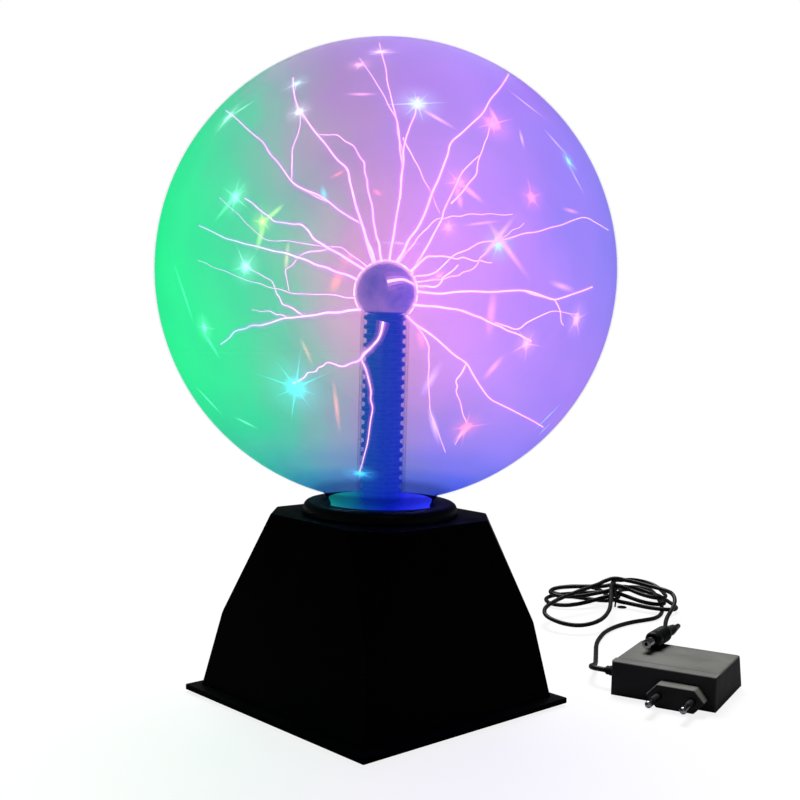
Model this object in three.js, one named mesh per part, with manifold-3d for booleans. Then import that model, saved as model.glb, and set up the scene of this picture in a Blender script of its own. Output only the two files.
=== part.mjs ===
// Plasma ball on a four-sided stand, with its wall adapter, low-voltage cord and barrel plug.
// Millimetres, +Z up. The origin is under the centre of the stand, on the plane it rests on.
import * as THREE from 'three';
import { ConvexGeometry } from 'three/addons/geometries/ConvexGeometry.js';
import { mergeVertices } from 'three/addons/utils/BufferGeometryUtils.js';
import Module from 'manifold-3d';

const wasm = await Module();
wasm.setup();

// ---------------------------------------------------------------- driving dimensions
const GAP = 0.3; // clearance between pieces that touch

const GLOBE_R = 125;
const GLOBE_Z = 236.3; // height of the globe's centre
const GLASS_WALL = 1.8;
const NECK_R = 29;
const NECK_FLARE_R = 33; // where the neck runs out into the globe
const NECK_FLARE_START_Z = 108;
const NECK_END_Z = 84;

const BULB_R = 17; // electrode bulb on the stem
const BULB_Z = 226;
const STEM_R = 13.4;
const STEM_WALL = 1.3;
const STEM_FOOT_R = 25.6;
const SLEEVE_R = 11.6;
const SLEEVE_BORE_R = 8.8;
const SLEEVE_TOOTH = 1.6; // depth of the notches between the sleeve's ribs
const SLEEVE_PITCH = 5;
const SLEEVE_BOTTOM_Z = 104;
const SLEEVE_RIBS = 21;

const FLANGE_HALF = 75.5; // half side of the square foot flange
const FLANGE_BOTTOM_Z = 1;
const FLANGE_TOP_Z = 4.2;
const BODY_BOTTOM_HALF = 69; // half side of the body where it meets the flange
const BODY_TOP_HALF = 51;
const BODY_TOP_Z = 104;
const CORNER_CUT = 18.6; // leg of each corner cut, measured on the top face
const CORNER_CUT_END_Z = 45; // height where each corner cut runs out to nothing
const SHELL_WALL = 2.6;
const SHELL_ROOF = 3;

const COLLAR_OUTER_R = 43;
const COLLAR_BORE_R = 30.6;
const COLLAR_HEIGHT = 7;

const COVER_HALF = 65.8;
const COVER_BOTTOM_Z = 1.5;
const COVER_TOP_Z = 3.9;
const COVER_SCREW_AT = 55;
const FOOT_AT = 44;
const FOOT_R = 8;
const BOARD_X = 100;
const BOARD_Y = 80;
const BOARD_Z = 14;
const BOARD_THICKNESS = 1.6;
const BOARD_SCREW_X = 45;
const BOARD_SCREW_Y = 35;
const PART_Z = BOARD_Z + BOARD_THICKNESS + GAP; // where parts stand on the board

const JACK_X = 22;
const JACK_Z = 32;
const SWITCH_X = -22;
const SWITCH_Z = 36;
const ROCKER_TILT = THREE.MathUtils.degToRad(10);

const ADAPTER_AT = [108, 119, 0]; // middle of the adapter's front edge, on the floor
const ADAPTER_TURN = THREE.MathUtils.degToRad(18);
const ADAPTER_LENGTH = 60;
const ADAPTER_TOP_DEPTH = 55;
const ADAPTER_FLOOR_DEPTH = 63;
const ADAPTER_HEIGHT = 20;
const ADAPTER_WALL = 2;
const ADAPTER_FRONT_DEPTH = 8; // depth of the front half, which carries the pins
const BOSS_X = 10; // the plug boss sits to one side of the middle
const PIN_SPACING = 19;
const PIN_R = 2;
const PIN_Z = 7;

const CORD_D = 3;
const HANK_AT = [-58, 296]; // where the tie holds the hank
const HANK_RIGHT = [0.685, 0.728]; // unit vector along the hank
const HANK_AWAY = [-0.728, 0.685]; // unit vector across it
const HANK_HEIGHT = 15;

// ---------------------------------------------------------------- finishes
function finish(color, roughness, metalness = 0) {
  return new THREE.MeshStandardMaterial({ color, roughness, metalness });
}

const clearGlass = finish(0x9fd8e8, 0.05);
const stemGlass = finish(0x4878c8, 0.1);
const sleevePlastic = finish(0x2438a8, 0.5);
const wool = finish(0x8a86a8, 0.8, 0.6);
const blackPlastic = finish(0x0b0b0c, 0.35);
const adapterPlastic = finish(0x3a3a38, 0.6);
const rubber = finish(0x101010, 0.9);
const cordSkin = finish(0x0a0a0a, 0.3);
const steel = finish(0xb8babd, 0.3, 1);
const chrome = finish(0xe8e8ea, 0.1, 1);
const brass = finish(0xc9a24a, 0.3, 1);
const aluminium = finish(0xb0b3b6, 0.4, 1);
const ferrite = finish(0x2c2c2e, 0.8);
const copper = finish(0xb06a38, 0.4, 0.8);
const laminate = finish(0x1f6b3a, 0.6);
const resin = finish(0x18181a, 0.5);
const filmYellow = finish(0xc9a028, 0.5);
const canSleeve = finish(0x1c2c58, 0.4);
const redLead = finish(0xa01818, 0.4);

// ---------------------------------------------------------------- geometry helpers
function signedVolume(position, index) {
  const a = new THREE.Vector3();
  const b = new THREE.Vector3();
  const c = new THREE.Vector3();
  let volume = 0;
  for (let i = 0; i < index.length; i += 3) {
    a.fromBufferAttribute(position, index[i]);
    b.fromBufferAttribute(position, index[i + 1]);
    c.fromBufferAttribute(position, index[i + 2]);
    volume += a.dot(b.cross(c)) / 6;
  }
  return volume;
}

// One closed body with shared vertices, no collapsed triangles and its faces outwards.
function closed(source) {
  const bare = source.clone();
  bare.deleteAttribute('normal');
  bare.deleteAttribute('uv');
  const merged = mergeVertices(bare, 1e-4);
  const all = Array.from(merged.index.array);
  const kept = [];
  for (let i = 0; i < all.length; i += 3) {
    const [a, b, c] = [all[i], all[i + 1], all[i + 2]];
    if (a !== b && b !== c && c !== a) {
      kept.push(a, b, c);
    }
  }
  if (signedVolume(merged.attributes.position, kept) < 0) {
    kept.reverse();
  }
  merged.setIndex(kept);
  return merged;
}

function toSolid(geometry) {
  const body = closed(geometry);
  return new wasm.Manifold(new wasm.Mesh({
    numProp: 3,
    vertProperties: new Float32Array(body.attributes.position.array),
    triVerts: new Uint32Array(body.index.array),
  }));
}

function toGeometry(solid) {
  const mesh = solid.getMesh();
  const geometry = new THREE.BufferGeometry();
  geometry.setAttribute('position', new THREE.BufferAttribute(mesh.vertProperties, 3));
  geometry.setIndex(Array.from(mesh.triVerts));
  return geometry;
}

function joined(first, ...others) {
  return toGeometry(others.reduce((sum, next) => sum.add(toSolid(next)), toSolid(first)));
}

function cut(first, ...tools) {
  return toGeometry(tools.reduce((rest, tool) => rest.subtract(toSolid(tool)), toSolid(first)));
}

function common(first, second) {
  return toGeometry(toSolid(first).intersect(toSolid(second)));
}

// A box between two corners.
function box(low, high) {
  const size = high.map((value, i) => value - low[i]);
  const middle = high.map((value, i) => (value + low[i]) / 2);
  return new THREE.BoxGeometry(...size).translate(...middle);
}

// An upright cylinder between two heights.
function rod(radius, bottom, top, segments = 16) {
  const geometry = new THREE.CylinderGeometry(radius, radius, top - bottom, segments);
  return geometry.rotateX(Math.PI / 2).translate(0, 0, (top + bottom) / 2);
}

// A body turned about Z from [radius, height] points.
function turned(profile, segments = 32) {
  const points = profile.map(([r, z]) => new THREE.Vector2(r, z));
  return closed(new THREE.LatheGeometry(points, segments).rotateX(Math.PI / 2));
}

// A ring of rectangular section.
function ring(inner, outer, bottom, top, segments = 32) {
  const profile = [[inner, bottom], [outer, bottom], [outer, top], [inner, top], [inner, bottom]];
  return turned(profile, segments);
}

// A flat outline given a thickness, standing on z = 0.
function plate(shape, depth, curveSegments = 6) {
  return new THREE.ExtrudeGeometry(shape, { depth, bevelEnabled: false, curveSegments });
}

function outline(points) {
  return new THREE.Shape(points.map(([x, y]) => new THREE.Vector2(x, y)));
}

// A round lead along a smooth curve through the points given.
function lead(points, diameter, sides = 8, spacing = 2.5) {
  const curve = new THREE.CatmullRomCurve3(points.map((p) => new THREE.Vector3(...p)), false, 'centripetal');
  const steps = Math.max(2, Math.round(curve.getLength() / (diameter * spacing)));
  const circle = new THREE.Shape();
  for (let i = 0; i < sides; i += 1) {
    const angle = (2 * Math.PI * i) / sides;
    const [x, y] = [Math.cos(angle) * diameter / 2, Math.sin(angle) * diameter / 2];
    if (i === 0) {
      circle.moveTo(x, y);
    } else {
      circle.lineTo(x, y);
    }
  }
  circle.closePath();
  return new THREE.ExtrudeGeometry(circle, { extrudePath: curve, steps, bevelEnabled: false });
}

function arc(radius, from, to, count, centre = [0, 0]) {
  return Array.from({ length: count + 1 }, (_, i) => {
    const angle = from + ((to - from) * i) / count;
    return [centre[0] + radius * Math.cos(angle), centre[1] + radius * Math.sin(angle)];
  });
}

function part(parent, name, geometry, material) {
  const mesh = new THREE.Mesh(geometry, material);
  mesh.name = name;
  parent.add(mesh);
  return mesh;
}

// ---------------------------------------------------------------- globe, stem and electrode
// The outside of globe and neck, from the pole down to the neck's open end.
function globeProfile(offset) {
  const radius = GLOBE_R - offset;
  const flareAngle = -Math.acos((NECK_FLARE_R - offset) / radius);
  const sphere = arc(radius, Math.PI / 2, flareAngle, 16, [0, GLOBE_Z]);
  sphere[0][0] = 0;
  return [...sphere, [NECK_R - offset, NECK_FLARE_START_Z], [NECK_R - offset, NECK_END_Z]];
}

function globeGlass() {
  const outside = globeProfile(0);
  const inside = globeProfile(GLASS_WALL).reverse();
  return turned([...outside, ...inside], 32);
}

function stemProfile(offset) {
  const bulb = arc(BULB_R - offset, Math.PI / 2, -Math.PI / 6, 8, [0, BULB_Z]);
  bulb[0][0] = 0;
  return [
    ...bulb,
    [STEM_R - offset, BULB_Z - BULB_R],
    [STEM_R - offset, SLEEVE_BOTTOM_Z - 4],
    [STEM_R + 3 - offset, 93],
    [STEM_FOOT_R - offset, 87],
  ];
}

function stemGlassTube() {
  return turned([...stemProfile(0), ...stemProfile(STEM_WALL).reverse()], 20);
}

// A sleeve with a notch between every two ribs, like a stack of washers.
function ribbedSleeve() {
  const profile = [[SLEEVE_BORE_R, SLEEVE_BOTTOM_Z]];
  for (let i = 0; i < SLEEVE_RIBS; i += 1) {
    const z = SLEEVE_BOTTOM_Z + i * SLEEVE_PITCH;
    profile.push([SLEEVE_R - SLEEVE_TOOTH, z], [SLEEVE_R, z + SLEEVE_PITCH * 0.4]);
    profile.push([SLEEVE_R, z + SLEEVE_PITCH * 0.7]);
  }
  const top = SLEEVE_BOTTOM_Z + SLEEVE_RIBS * SLEEVE_PITCH;
  profile.push([SLEEVE_R - SLEEVE_TOOTH, top], [SLEEVE_BORE_R, top], [SLEEVE_BORE_R, SLEEVE_BOTTOM_Z]);
  return turned(profile, 12);
}

function addGlobe(parent) {
  part(parent, 'globe_glass', globeGlass(), clearGlass);
  part(parent, 'stem_glass', stemGlassTube(), stemGlass);
  part(parent, 'stem_sleeve', ribbedSleeve(), sleevePlastic);
  const woolBall = new THREE.IcosahedronGeometry(BULB_R - STEM_WALL - 2, 1);
  part(parent, 'electrode_wool', closed(woolBall.translate(0, 0, BULB_Z)), wool);
  part(parent, 'hv_rod', rod(1.2, 84, BULB_Z - BULB_R + 2, 10), steel);
  part(parent, 'hv_contact_cap', turned([[0, 76], [4, 76], [4, 80], [2.4, 83.7], [0, 83.7]], 16), brass);
}

// ---------------------------------------------------------------- stand
function bodyHalf(z) {
  const along = (z - FLANGE_TOP_Z) / (BODY_TOP_Z - FLANGE_TOP_Z);
  return BODY_BOTTOM_HALF + (BODY_TOP_HALF - BODY_BOTTOM_HALF) * along;
}

// The tapering body with its four corner cuts, widest at the top and gone at CORNER_CUT_END_Z.
function bodySolid(inset, bottom, top) {
  const corners = [[1, 1], [-1, 1], [-1, -1], [1, -1]];
  const points = [];
  const corner = (half, z) => corners.forEach(([x, y]) => {
    points.push(new THREE.Vector3(x * half, y * half, z));
  });
  corner(bodyHalf(bottom) - inset, bottom);
  corner(bodyHalf(CORNER_CUT_END_Z) - inset, CORNER_CUT_END_Z);
  const half = bodyHalf(top) - inset;
  const legShare = (top - CORNER_CUT_END_Z) / (BODY_TOP_Z - CORNER_CUT_END_Z);
  const short = half - CORNER_CUT * legShare;
  corners.forEach(([x, y]) => {
    points.push(new THREE.Vector3(x * half, y * short, top));
    points.push(new THREE.Vector3(x * short, y * half, top));
  });
  return new ConvexGeometry(points);
}

// Places a geometry built with +Z outwards onto the sloping rear wall.
function onRearWall(geometry, x, z) {
  const slope = Math.atan((BODY_BOTTOM_HALF - BODY_TOP_HALF) / (BODY_TOP_Z - FLANGE_TOP_Z));
  return geometry.rotateX(-(Math.PI / 2 - slope)).translate(x, bodyHalf(z), z);
}

function fourCorners(at) {
  return [[at, at], [-at, at], [-at, -at], [at, -at]];
}

function baseShell() {
  const outside = joined(
    bodySolid(0, FLANGE_TOP_Z - 1, BODY_TOP_Z),
    box([-FLANGE_HALF, -FLANGE_HALF, FLANGE_BOTTOM_Z], [FLANGE_HALF, FLANGE_HALF, FLANGE_TOP_Z]),
  );
  const hollow = bodySolid(SHELL_WALL, FLANGE_TOP_Z - 4, BODY_TOP_Z - SHELL_ROOF);
  const bosses = fourCorners(COVER_SCREW_AT).map(([x, y]) => {
    return common(rod(4.5, COVER_TOP_Z + GAP, 64, 10).translate(x, y, 0), bodySolid(1, 4, 100));
  });
  const pilots = fourCorners(COVER_SCREW_AT).map(([x, y]) => rod(1.6, 0, 20, 8).translate(x, y, 0));
  return cut(
    joined(cut(outside, hollow), ...bosses),
    rod(NECK_R + 4.6, 90, 110, 32),
    onRearWall(rod(5.8, -8, 4, 16), JACK_X, JACK_Z),
    onRearWall(box([-6.8, -10, -8], [6.8, 10, 4]), SWITCH_X, SWITCH_Z),
    ...pilots,
  );
}

function bottomCover() {
  const sheet = box([-COVER_HALF, -COVER_HALF, COVER_BOTTOM_Z], [COVER_HALF, COVER_HALF, COVER_TOP_Z]);
  const posts = [];
  const holes = [];
  for (const x of [-BOARD_SCREW_X, BOARD_SCREW_X]) {
    for (const y of [-BOARD_SCREW_Y, BOARD_SCREW_Y]) {
      posts.push(rod(3.6, COVER_TOP_Z - 1, BOARD_Z - GAP, 10).translate(x, y, 0));
      holes.push(rod(1.6, COVER_TOP_Z + 2, BOARD_Z + 1, 8).translate(x, y, 0));
    }
  }
  for (const [x, y] of fourCorners(COVER_SCREW_AT)) {
    holes.push(rod(1.7, 0, 6, 8).translate(x, y, 0));
    holes.push(rod(3.3, 0, COVER_BOTTOM_Z + 1.4, 12).translate(x, y, 0));
  }
  for (let i = -3; i <= 3; i += 1) {
    holes.push(box([i * 6 - 1.2, -18, 0], [i * 6 + 1.2, 18, 6]));
  }
  return cut(joined(sheet, ...posts), ...holes);
}

// A pan-head screw with its head down at z = 0 and its shank upwards.
function screw(headRadius, headHeight, length) {
  const profile = [[0, 0], [headRadius * 0.8, 0], [headRadius, headHeight * 0.4], [headRadius, headHeight],
    [1.3, headHeight], [1.3, length - 1.2], [0, length]];
  return turned(profile, 10);
}

// A round collar with a domed top, round the neck.
function collarRing() {
  const bottom = BODY_TOP_Z + GAP;
  const top = BODY_TOP_Z + COLLAR_HEIGHT;
  const profile = [
    [COLLAR_BORE_R, bottom],
    [COLLAR_OUTER_R, bottom],
    [COLLAR_OUTER_R, bottom + 2.6],
    ...arc(3.4, 0, Math.PI / 2, 3, [COLLAR_OUTER_R - 3.6, top - 3.4]),
    [COLLAR_BORE_R + 2.2, top - 0.4],
    [COLLAR_BORE_R, top - 1.6],
    [COLLAR_BORE_R, bottom],
  ];
  return turned(profile, 32);
}

function addStand(parent) {
  part(parent, 'base_shell', baseShell(), blackPlastic);
  part(parent, 'collar_ring', collarRing(), blackPlastic);
  const gasketTop = BODY_TOP_Z - GAP;
  part(parent, 'neck_gasket', ring(NECK_R + GAP, NECK_R + 4.2, gasketTop - 5, gasketTop), rubber);
  const clampTop = BODY_TOP_Z - SHELL_ROOF - 2.6;
  part(parent, 'neck_clamp', ring(NECK_R + GAP, 41, clampTop - 5, clampTop), resin);
  part(parent, 'bottom_cover', bottomCover(), blackPlastic);
  fourCorners(FOOT_AT).forEach(([x, y], i) => {
    const pad = turned([[0, 0], [FOOT_R, 0], [FOOT_R, 0.8], [FOOT_R - 0.4, 1.2], [0, 1.2]], 20);
    part(parent, `rubber_foot_${i + 1}`, pad, rubber).position.set(x, y, 0);
  });
  fourCorners(COVER_SCREW_AT).forEach(([x, y], i) => {
    part(parent, `cover_screw_${i + 1}`, screw(2.8, 1.1, 12), steel).position.set(x, y, COVER_BOTTOM_Z);
  });
}

// ---------------------------------------------------------------- driver board
function driverBoard() {
  const boardTop = BOARD_Z + BOARD_THICKNESS;
  const board = box([-BOARD_X / 2, -BOARD_Y / 2, BOARD_Z], [BOARD_X / 2, BOARD_Y / 2, boardTop]);
  const holes = [];
  for (const x of [-BOARD_SCREW_X, BOARD_SCREW_X]) {
    for (const y of [-BOARD_SCREW_Y, BOARD_SCREW_Y]) {
      holes.push(rod(1.7, 0, 30, 8).translate(x, y, 0));
    }
  }
  return cut(board, ...holes);
}

// A rectangular ferrite frame standing on the board, with its window open along Y.
function flybackCore() {
  const frame = box([-18, -5, 0], [18, 5, 40]);
  return cut(frame, box([-8, -6, 10], [8, 6, 30]));
}

function heatSink() {
  const fins = [];
  for (let i = 0; i < 5; i += 1) {
    fins.push(box([i * 6 - 13, 2, 0], [i * 6 - 11, 14, 30]));
  }
  return joined(box([-15, 0, 0], [15, 3, 30]), ...fins);
}

function powerTransistor() {
  return joined(box([-5, -4.6, 4], [5, -0.4, 13]), box([-5, -1.6, 12], [5, -0.4, 19]));
}

function addElectronics(parent) {
  part(parent, 'driver_board', driverBoard(), laminate);
  let number = 0;
  for (const x of [-BOARD_SCREW_X, BOARD_SCREW_X]) {
    for (const y of [-BOARD_SCREW_Y, BOARD_SCREW_Y]) {
      number += 1;
      const fastener = part(parent, `board_screw_${number}`, screw(2.7, 1.6, 9), steel);
      fastener.rotation.x = Math.PI;
      fastener.position.set(x, y, PART_Z + 1.6);
    }
  }
  const core = part(parent, 'flyback_core', flybackCore(), ferrite);
  core.position.set(-18, -6, PART_Z);
  const winding = part(parent, 'flyback_winding', ring(7.6, 12.4, 10.5, 29.5, 20), copper);
  winding.position.set(-31, -6, PART_Z);
  part(parent, 'heat_sink', heatSink(), aluminium).position.set(26, 14, PART_Z);
  part(parent, 'power_transistor', powerTransistor(), resin).position.set(26, 14 - GAP, PART_Z);
  part(parent, 'bulk_capacitor', rod(6.5, 0, 24, 20), canSleeve).position.set(26, -18, PART_Z);
  part(parent, 'film_capacitor', box([-9, -4, 0], [9, 4, 12]), filmYellow).position.set(2, -27, PART_Z);
  part(parent, 'sound_chip', box([-5, -3.2, 0.4], [5, 3.2, 3.6]), resin).position.set(8, 24, PART_Z);
  part(parent, 'microphone', rod(4.9, 0, 6.5, 16), aluminium).position.set(40, -28, PART_Z);
  const leadPath = [
    [-31, 4, 45.8], [-31, 4, 54], [-27, 4, 62], [-15, 2, 68], [-4, 0, 69], [0, 0, 72], [0, 0, 75.6],
  ];
  part(parent, 'hv_lead', lead(leadPath, 3.4, 8, 1.2), redLead);
}

// ---------------------------------------------------------------- rear wall: jack and switch
// Socket for a 5.5 mm barrel plug, with its centre pin, turned as one body.
function dcJack() {
  return turned([[0, -1.5], [1, -2.2], [1, -10], [3.1, -10], [3.1, -0.6], [3.6, 1.6], [6.8, 1.6],
    [7.4, 1], [7.4, 0.3], [5.4, 0.3], [5.4, -15], [0, -15]], 20);
}

function jackNut() {
  const nut = cut(rod(8.6, -6, -3.6, 6), rod(5.7, -8, 0, 20));
  return nut.translate(0, 0, 0.2);
}

function rockerHousing() {
  const frame = joined(box([-7.8, -11, 0.3], [7.8, 11, 2.2]), box([-6.5, -9.6, -14], [6.5, 9.6, 1]));
  return cut(frame, box([-5.4, -8.2, -9], [5.4, 8.2, 4]));
}

// A shallow V-topped rocker, 10 mm wide, profile given about its pivot.
function rockerButton() {
  const side = outline([[-7, 4], [-6.4, 0.5], [-2.5, -2.2], [2.5, -2.2], [6.4, 0.5], [7, 4], [0, 2.4]]);
  return plate(side, 10).translate(0, 0, -5).rotateY(Math.PI / 2).rotateX(Math.PI / 2);
}

function addRearPanel(parent) {
  part(parent, 'dc_jack', onRearWall(dcJack(), JACK_X, JACK_Z), resin);
  part(parent, 'jack_nut', onRearWall(jackNut(), JACK_X, JACK_Z), steel);
  part(parent, 'rocker_housing', onRearWall(rockerHousing(), SWITCH_X, SWITCH_Z), blackPlastic);
  part(parent, 'rocker_button', onRearWall(rockerButton().rotateX(-ROCKER_TILT), SWITCH_X, SWITCH_Z), blackPlastic);
  const jackPath = [[22, 46, 28.6], [22, 42, 27], [21, 36, 22], [21, 33, 17.8]];
  const switchPath = [[-22, 47, 32.6], [-22, 43, 31], [-19, 36, 23], [-18, 33, 17.8]];
  part(parent, 'jack_lead', lead(jackPath, 2.4, 8, 1.5), redLead);
  part(parent, 'switch_lead', lead(switchPath, 2.4, 8, 1.5), redLead);
}

// ---------------------------------------------------------------- wall adapter
// The case seen from its end: upright front, flat top, sloping back.
function adapterBlock(inset) {
  const side = outline([
    [inset, inset],
    [ADAPTER_FLOOR_DEPTH - inset * 1.4, inset],
    [ADAPTER_TOP_DEPTH - inset * 1.2, ADAPTER_HEIGHT - inset],
    [inset, ADAPTER_HEIGHT - inset],
  ]);
  const length = ADAPTER_LENGTH - 2 * inset;
  return plate(side, length).translate(0, 0, -length / 2).rotateX(Math.PI / 2).rotateZ(Math.PI / 2);
}

function slab(fromDepth, toDepth) {
  return box([-60, fromDepth, -5], [60, toDepth, 40]);
}

function adapterHalf(fromDepth, toDepth) {
  return common(cut(adapterBlock(0), adapterBlock(ADAPTER_WALL)), slab(fromDepth, toDepth));
}

// Six-sided boss of a two-pin plug: flat top and bottom, pointed sides.
function plugBoss(depth) {
  const [low, mid, high] = [0.4, PIN_Z, 2 * PIN_Z - 0.4];
  const section = outline([[-10.5, low], [10.5, low], [16.5, mid], [10.5, high], [-10.5, high], [-16.5, mid]]);
  return plate(section, depth).rotateX(Math.PI / 2).translate(BOSS_X, 0, 0);
}

// A piece turned about Z laid along -Y, so that its start is at the front face.
function pointingForward(geometry, x, startDepth) {
  return geometry.rotateX(Math.PI / 2).translate(x, -startDepth, PIN_Z);
}

function addAdapter(parent) {
  const group = new THREE.Group();
  group.position.set(...ADAPTER_AT);
  group.rotation.z = ADAPTER_TURN;
  parent.add(group);

  const bossDepth = 10;
  const pinXs = [BOSS_X - PIN_SPACING / 2, BOSS_X + PIN_SPACING / 2];
  const pinHoles = pinXs.map((x) => pointingForward(rod(PIN_R + GAP, -9, 12, 12), x, 0));
  const front = joined(adapterHalf(-1, ADAPTER_FRONT_DEPTH), plugBoss(bossDepth).translate(0, 0.5, 0));
  part(group, 'adapter_front', cut(front, ...pinHoles), adapterPlastic);
  const cordHole = rod(2.6, -4, 4, 12).rotateY(Math.PI / 2).translate(-ADAPTER_LENGTH / 2, 14, 10);
  const rear = adapterHalf(ADAPTER_FRONT_DEPTH + GAP, 90);
  part(group, 'adapter_rear', cut(rear, cordHole), adapterPlastic);

  pinXs.forEach((x, i) => {
    const side = i === 0 ? 'left' : 'right';
    const pin = turned([[0, -8], [1.5, -8], [1.5, 19.6], [PIN_R, 19.8], [PIN_R, 27.4], [1.2, 28.6], [0, 28.8]], 12);
    part(group, `plug_pin_${side}`, pointingForward(pin, x, 0), chrome);
    const sleeve = ring(1.5 + GAP, PIN_R, 9.9, 19.4, 12);
    part(group, `pin_sleeve_${side}`, pointingForward(sleeve, x, 0), resin);
  });

  part(group, 'adapter_board', box([-26, 9, 3.2], [26, 56, 4.8]), laminate);
  part(group, 'adapter_transformer', box([-4, 20, 5.1], [16, 42, 16.8]), ferrite);
  const relief = turned([[0, -3], [2.3, -3], [2.3, 0.3], [3.4, 0.3], [3.2, 3], [2.3, 8], [0, 8]], 12);
  const reliefAt = relief.rotateY(-Math.PI / 2).translate(-ADAPTER_LENGTH / 2, 14, 10);
  part(group, 'strain_relief', reliefAt, rubber);
}

// ---------------------------------------------------------------- cord and barrel plug
const FEED_ROUTE = [
  [67.4, 120.05, 10], [63.6, 119.3, 9.9], [59.6, 119.9, 9.5], [55.9, 122.2, 8.8], [52.9, 125.8, 7.9],
  [50.2, 130.4, 6.8], [47, 136, 5.4], [43, 142.5, 3.9], [38.2, 149.5, 2.6], [32.3, 157.3, 1.7], [25, 167, 1.5],
  [17, 177.5, 1.5], [8, 190, 1.5], [0, 204, 1.5], [-7, 219, 1.5], [-11, 234, 1.5], [-12.5, 247, 1.5],
  [-12.2, 258, 1.5], [-11, 267, 1.5], [-9.4, 277.1, 1.5],
];
const PLUG_TIP = [82.9, 138.1, 25.5];
const PLUG_HEADING = THREE.MathUtils.degToRad(105);
const PLUG_LENGTH = 48;
const EXIT_ROUTE = [
  [70.3, 185.2, 25.4], [67.8, 192.5, 24.8], [63.5, 200, 23], [57.5, 207.5, 19.5], [50.5, 215, 14.5],
  [43.5, 222.5, 9.5], [36.5, 230, 5.5], [29.5, 238, 2.8], [22.5, 247, 1.7], [16, 257, 1.5], [10.5, 268, 1.5],
  [6, 279, 2], [1.5, 288.5, 3], [-3.2, 295.2, 4], [-5.2, 297.1, 4.5],
];

// The outer shape of the tied loops, as distances along and across the hank from its tie.
const HANK_OUTLINE = [
  [6, -9], [14, -44], [30, -46], [42, -18], [46, 12], [48, 42], [47, 68], [36, 82], [22, 64], [10, 26],
  [1, 10], [-10, 34], [-22, 66], [-40, 66], [-50, 44], [-56, 18], [-62, -2], [-60, -16], [-50, -24],
  [-64, -48], [-64, -84], [-52, -108], [-36, -106], [-20, -74], [-8, -30], [-4, -10],
];

function hankBlock() {
  const points = HANK_OUTLINE.map(([along, across]) => new THREE.Vector2(
    HANK_AT[0] + HANK_RIGHT[0] * along + HANK_AWAY[0] * across,
    HANK_AT[1] + HANK_RIGHT[1] * along + HANK_AWAY[1] * across,
  ));
  const curve = new THREE.CatmullRomCurve3(points.map((p) => new THREE.Vector3(p.x, p.y, 0)), true);
  const smooth = curve.getPoints(72).slice(0, -1);
  return plate(outline(smooth.map((p) => [p.x, p.y])), HANK_HEIGHT);
}

// A wire tie bent over the waist of the hank, with its two ends twisted upwards.
function hankTie() {
  const outside = box([-1.6, -13.5, 0], [1.6, 14.5, HANK_HEIGHT + 1.6]);
  const hoop = cut(outside, box([-3, -12.4, -1], [3, 13.4, HANK_HEIGHT + 0.3]));
  const ears = joined(
    box([-1.2, -1.4, HANK_HEIGHT + 1], [1.2, -0.2, HANK_HEIGHT + 5]),
    box([-1.2, -1.4, HANK_HEIGHT + 1], [1.2, 1.4, HANK_HEIGHT + 2.4]),
  );
  const turn = Math.atan2(HANK_RIGHT[1], HANK_RIGHT[0]);
  return joined(hoop, ears).rotateZ(turn).translate(HANK_AT[0], HANK_AT[1], 0);
}

// Lays a body turned about Z along the plug's axis, tip first.
function alongPlug(geometry) {
  const heading = PLUG_HEADING - Math.PI / 2;
  return geometry.rotateX(-Math.PI / 2).rotateZ(heading).translate(...PLUG_TIP);
}

function addCord(parent) {
  part(parent, 'cord_adapter_end', lead(FEED_ROUTE, CORD_D), cordSkin);
  part(parent, 'cord_hank', hankBlock(), cordSkin);
  part(parent, 'hank_tie', hankTie(), rubber);
  part(parent, 'cord_plug_end', lead(EXIT_ROUTE, CORD_D), cordSkin);
  const barrel = turned([[1.1, 0], [2.75, 0], [2.75, 9.7], [1.1, 9.7], [1.1, 0]], 16);
  part(parent, 'plug_barrel', alongPlug(barrel), chrome);
  const grip = turned([[0, 10], [4, 10], [5, 11], [5, 30], [3.8, 34], [0, 34]], 16);
  part(parent, 'plug_grip', alongPlug(grip), blackPlastic);
  const boot = turned([[0, 34.3], [3.4, 34.3], [2.4, PLUG_LENGTH], [0, PLUG_LENGTH]], 12);
  part(parent, 'plug_boot', alongPlug(boot), rubber);
}

// ---------------------------------------------------------------- assembly
const plasmaBall = new THREE.Group();
addGlobe(plasmaBall);
addStand(plasmaBall);
addElectronics(plasmaBall);
addRearPanel(plasmaBall);
addAdapter(plasmaBall);
addCord(plasmaBall);

export default plasmaBall;
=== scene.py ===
"""Looks of a plasma ball: a globe of coloured gas on a black stand, with its wall adapter, cord and plug."""

import logging
import math
import random
from collections.abc import Callable, Iterator, Sequence
from contextlib import contextmanager
from dataclasses import dataclass
from enum import Enum
from itertools import pairwise
from typing import Protocol

import bmesh
import bpy
import numpy as np
from mathutils import Matrix, Vector


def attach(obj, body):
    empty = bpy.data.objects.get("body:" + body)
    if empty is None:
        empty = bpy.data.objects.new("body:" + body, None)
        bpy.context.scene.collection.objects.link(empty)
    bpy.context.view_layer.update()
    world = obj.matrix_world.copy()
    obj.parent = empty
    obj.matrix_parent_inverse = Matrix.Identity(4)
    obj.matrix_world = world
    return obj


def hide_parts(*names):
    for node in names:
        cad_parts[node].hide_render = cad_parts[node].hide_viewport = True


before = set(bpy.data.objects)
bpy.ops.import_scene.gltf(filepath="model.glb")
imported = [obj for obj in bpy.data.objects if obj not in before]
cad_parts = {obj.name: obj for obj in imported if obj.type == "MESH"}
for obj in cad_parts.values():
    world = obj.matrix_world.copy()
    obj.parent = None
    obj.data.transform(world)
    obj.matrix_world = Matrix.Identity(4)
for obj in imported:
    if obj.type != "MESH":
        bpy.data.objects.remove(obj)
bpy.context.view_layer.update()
LOG = logging.getLogger("plasma_ball")

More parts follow.
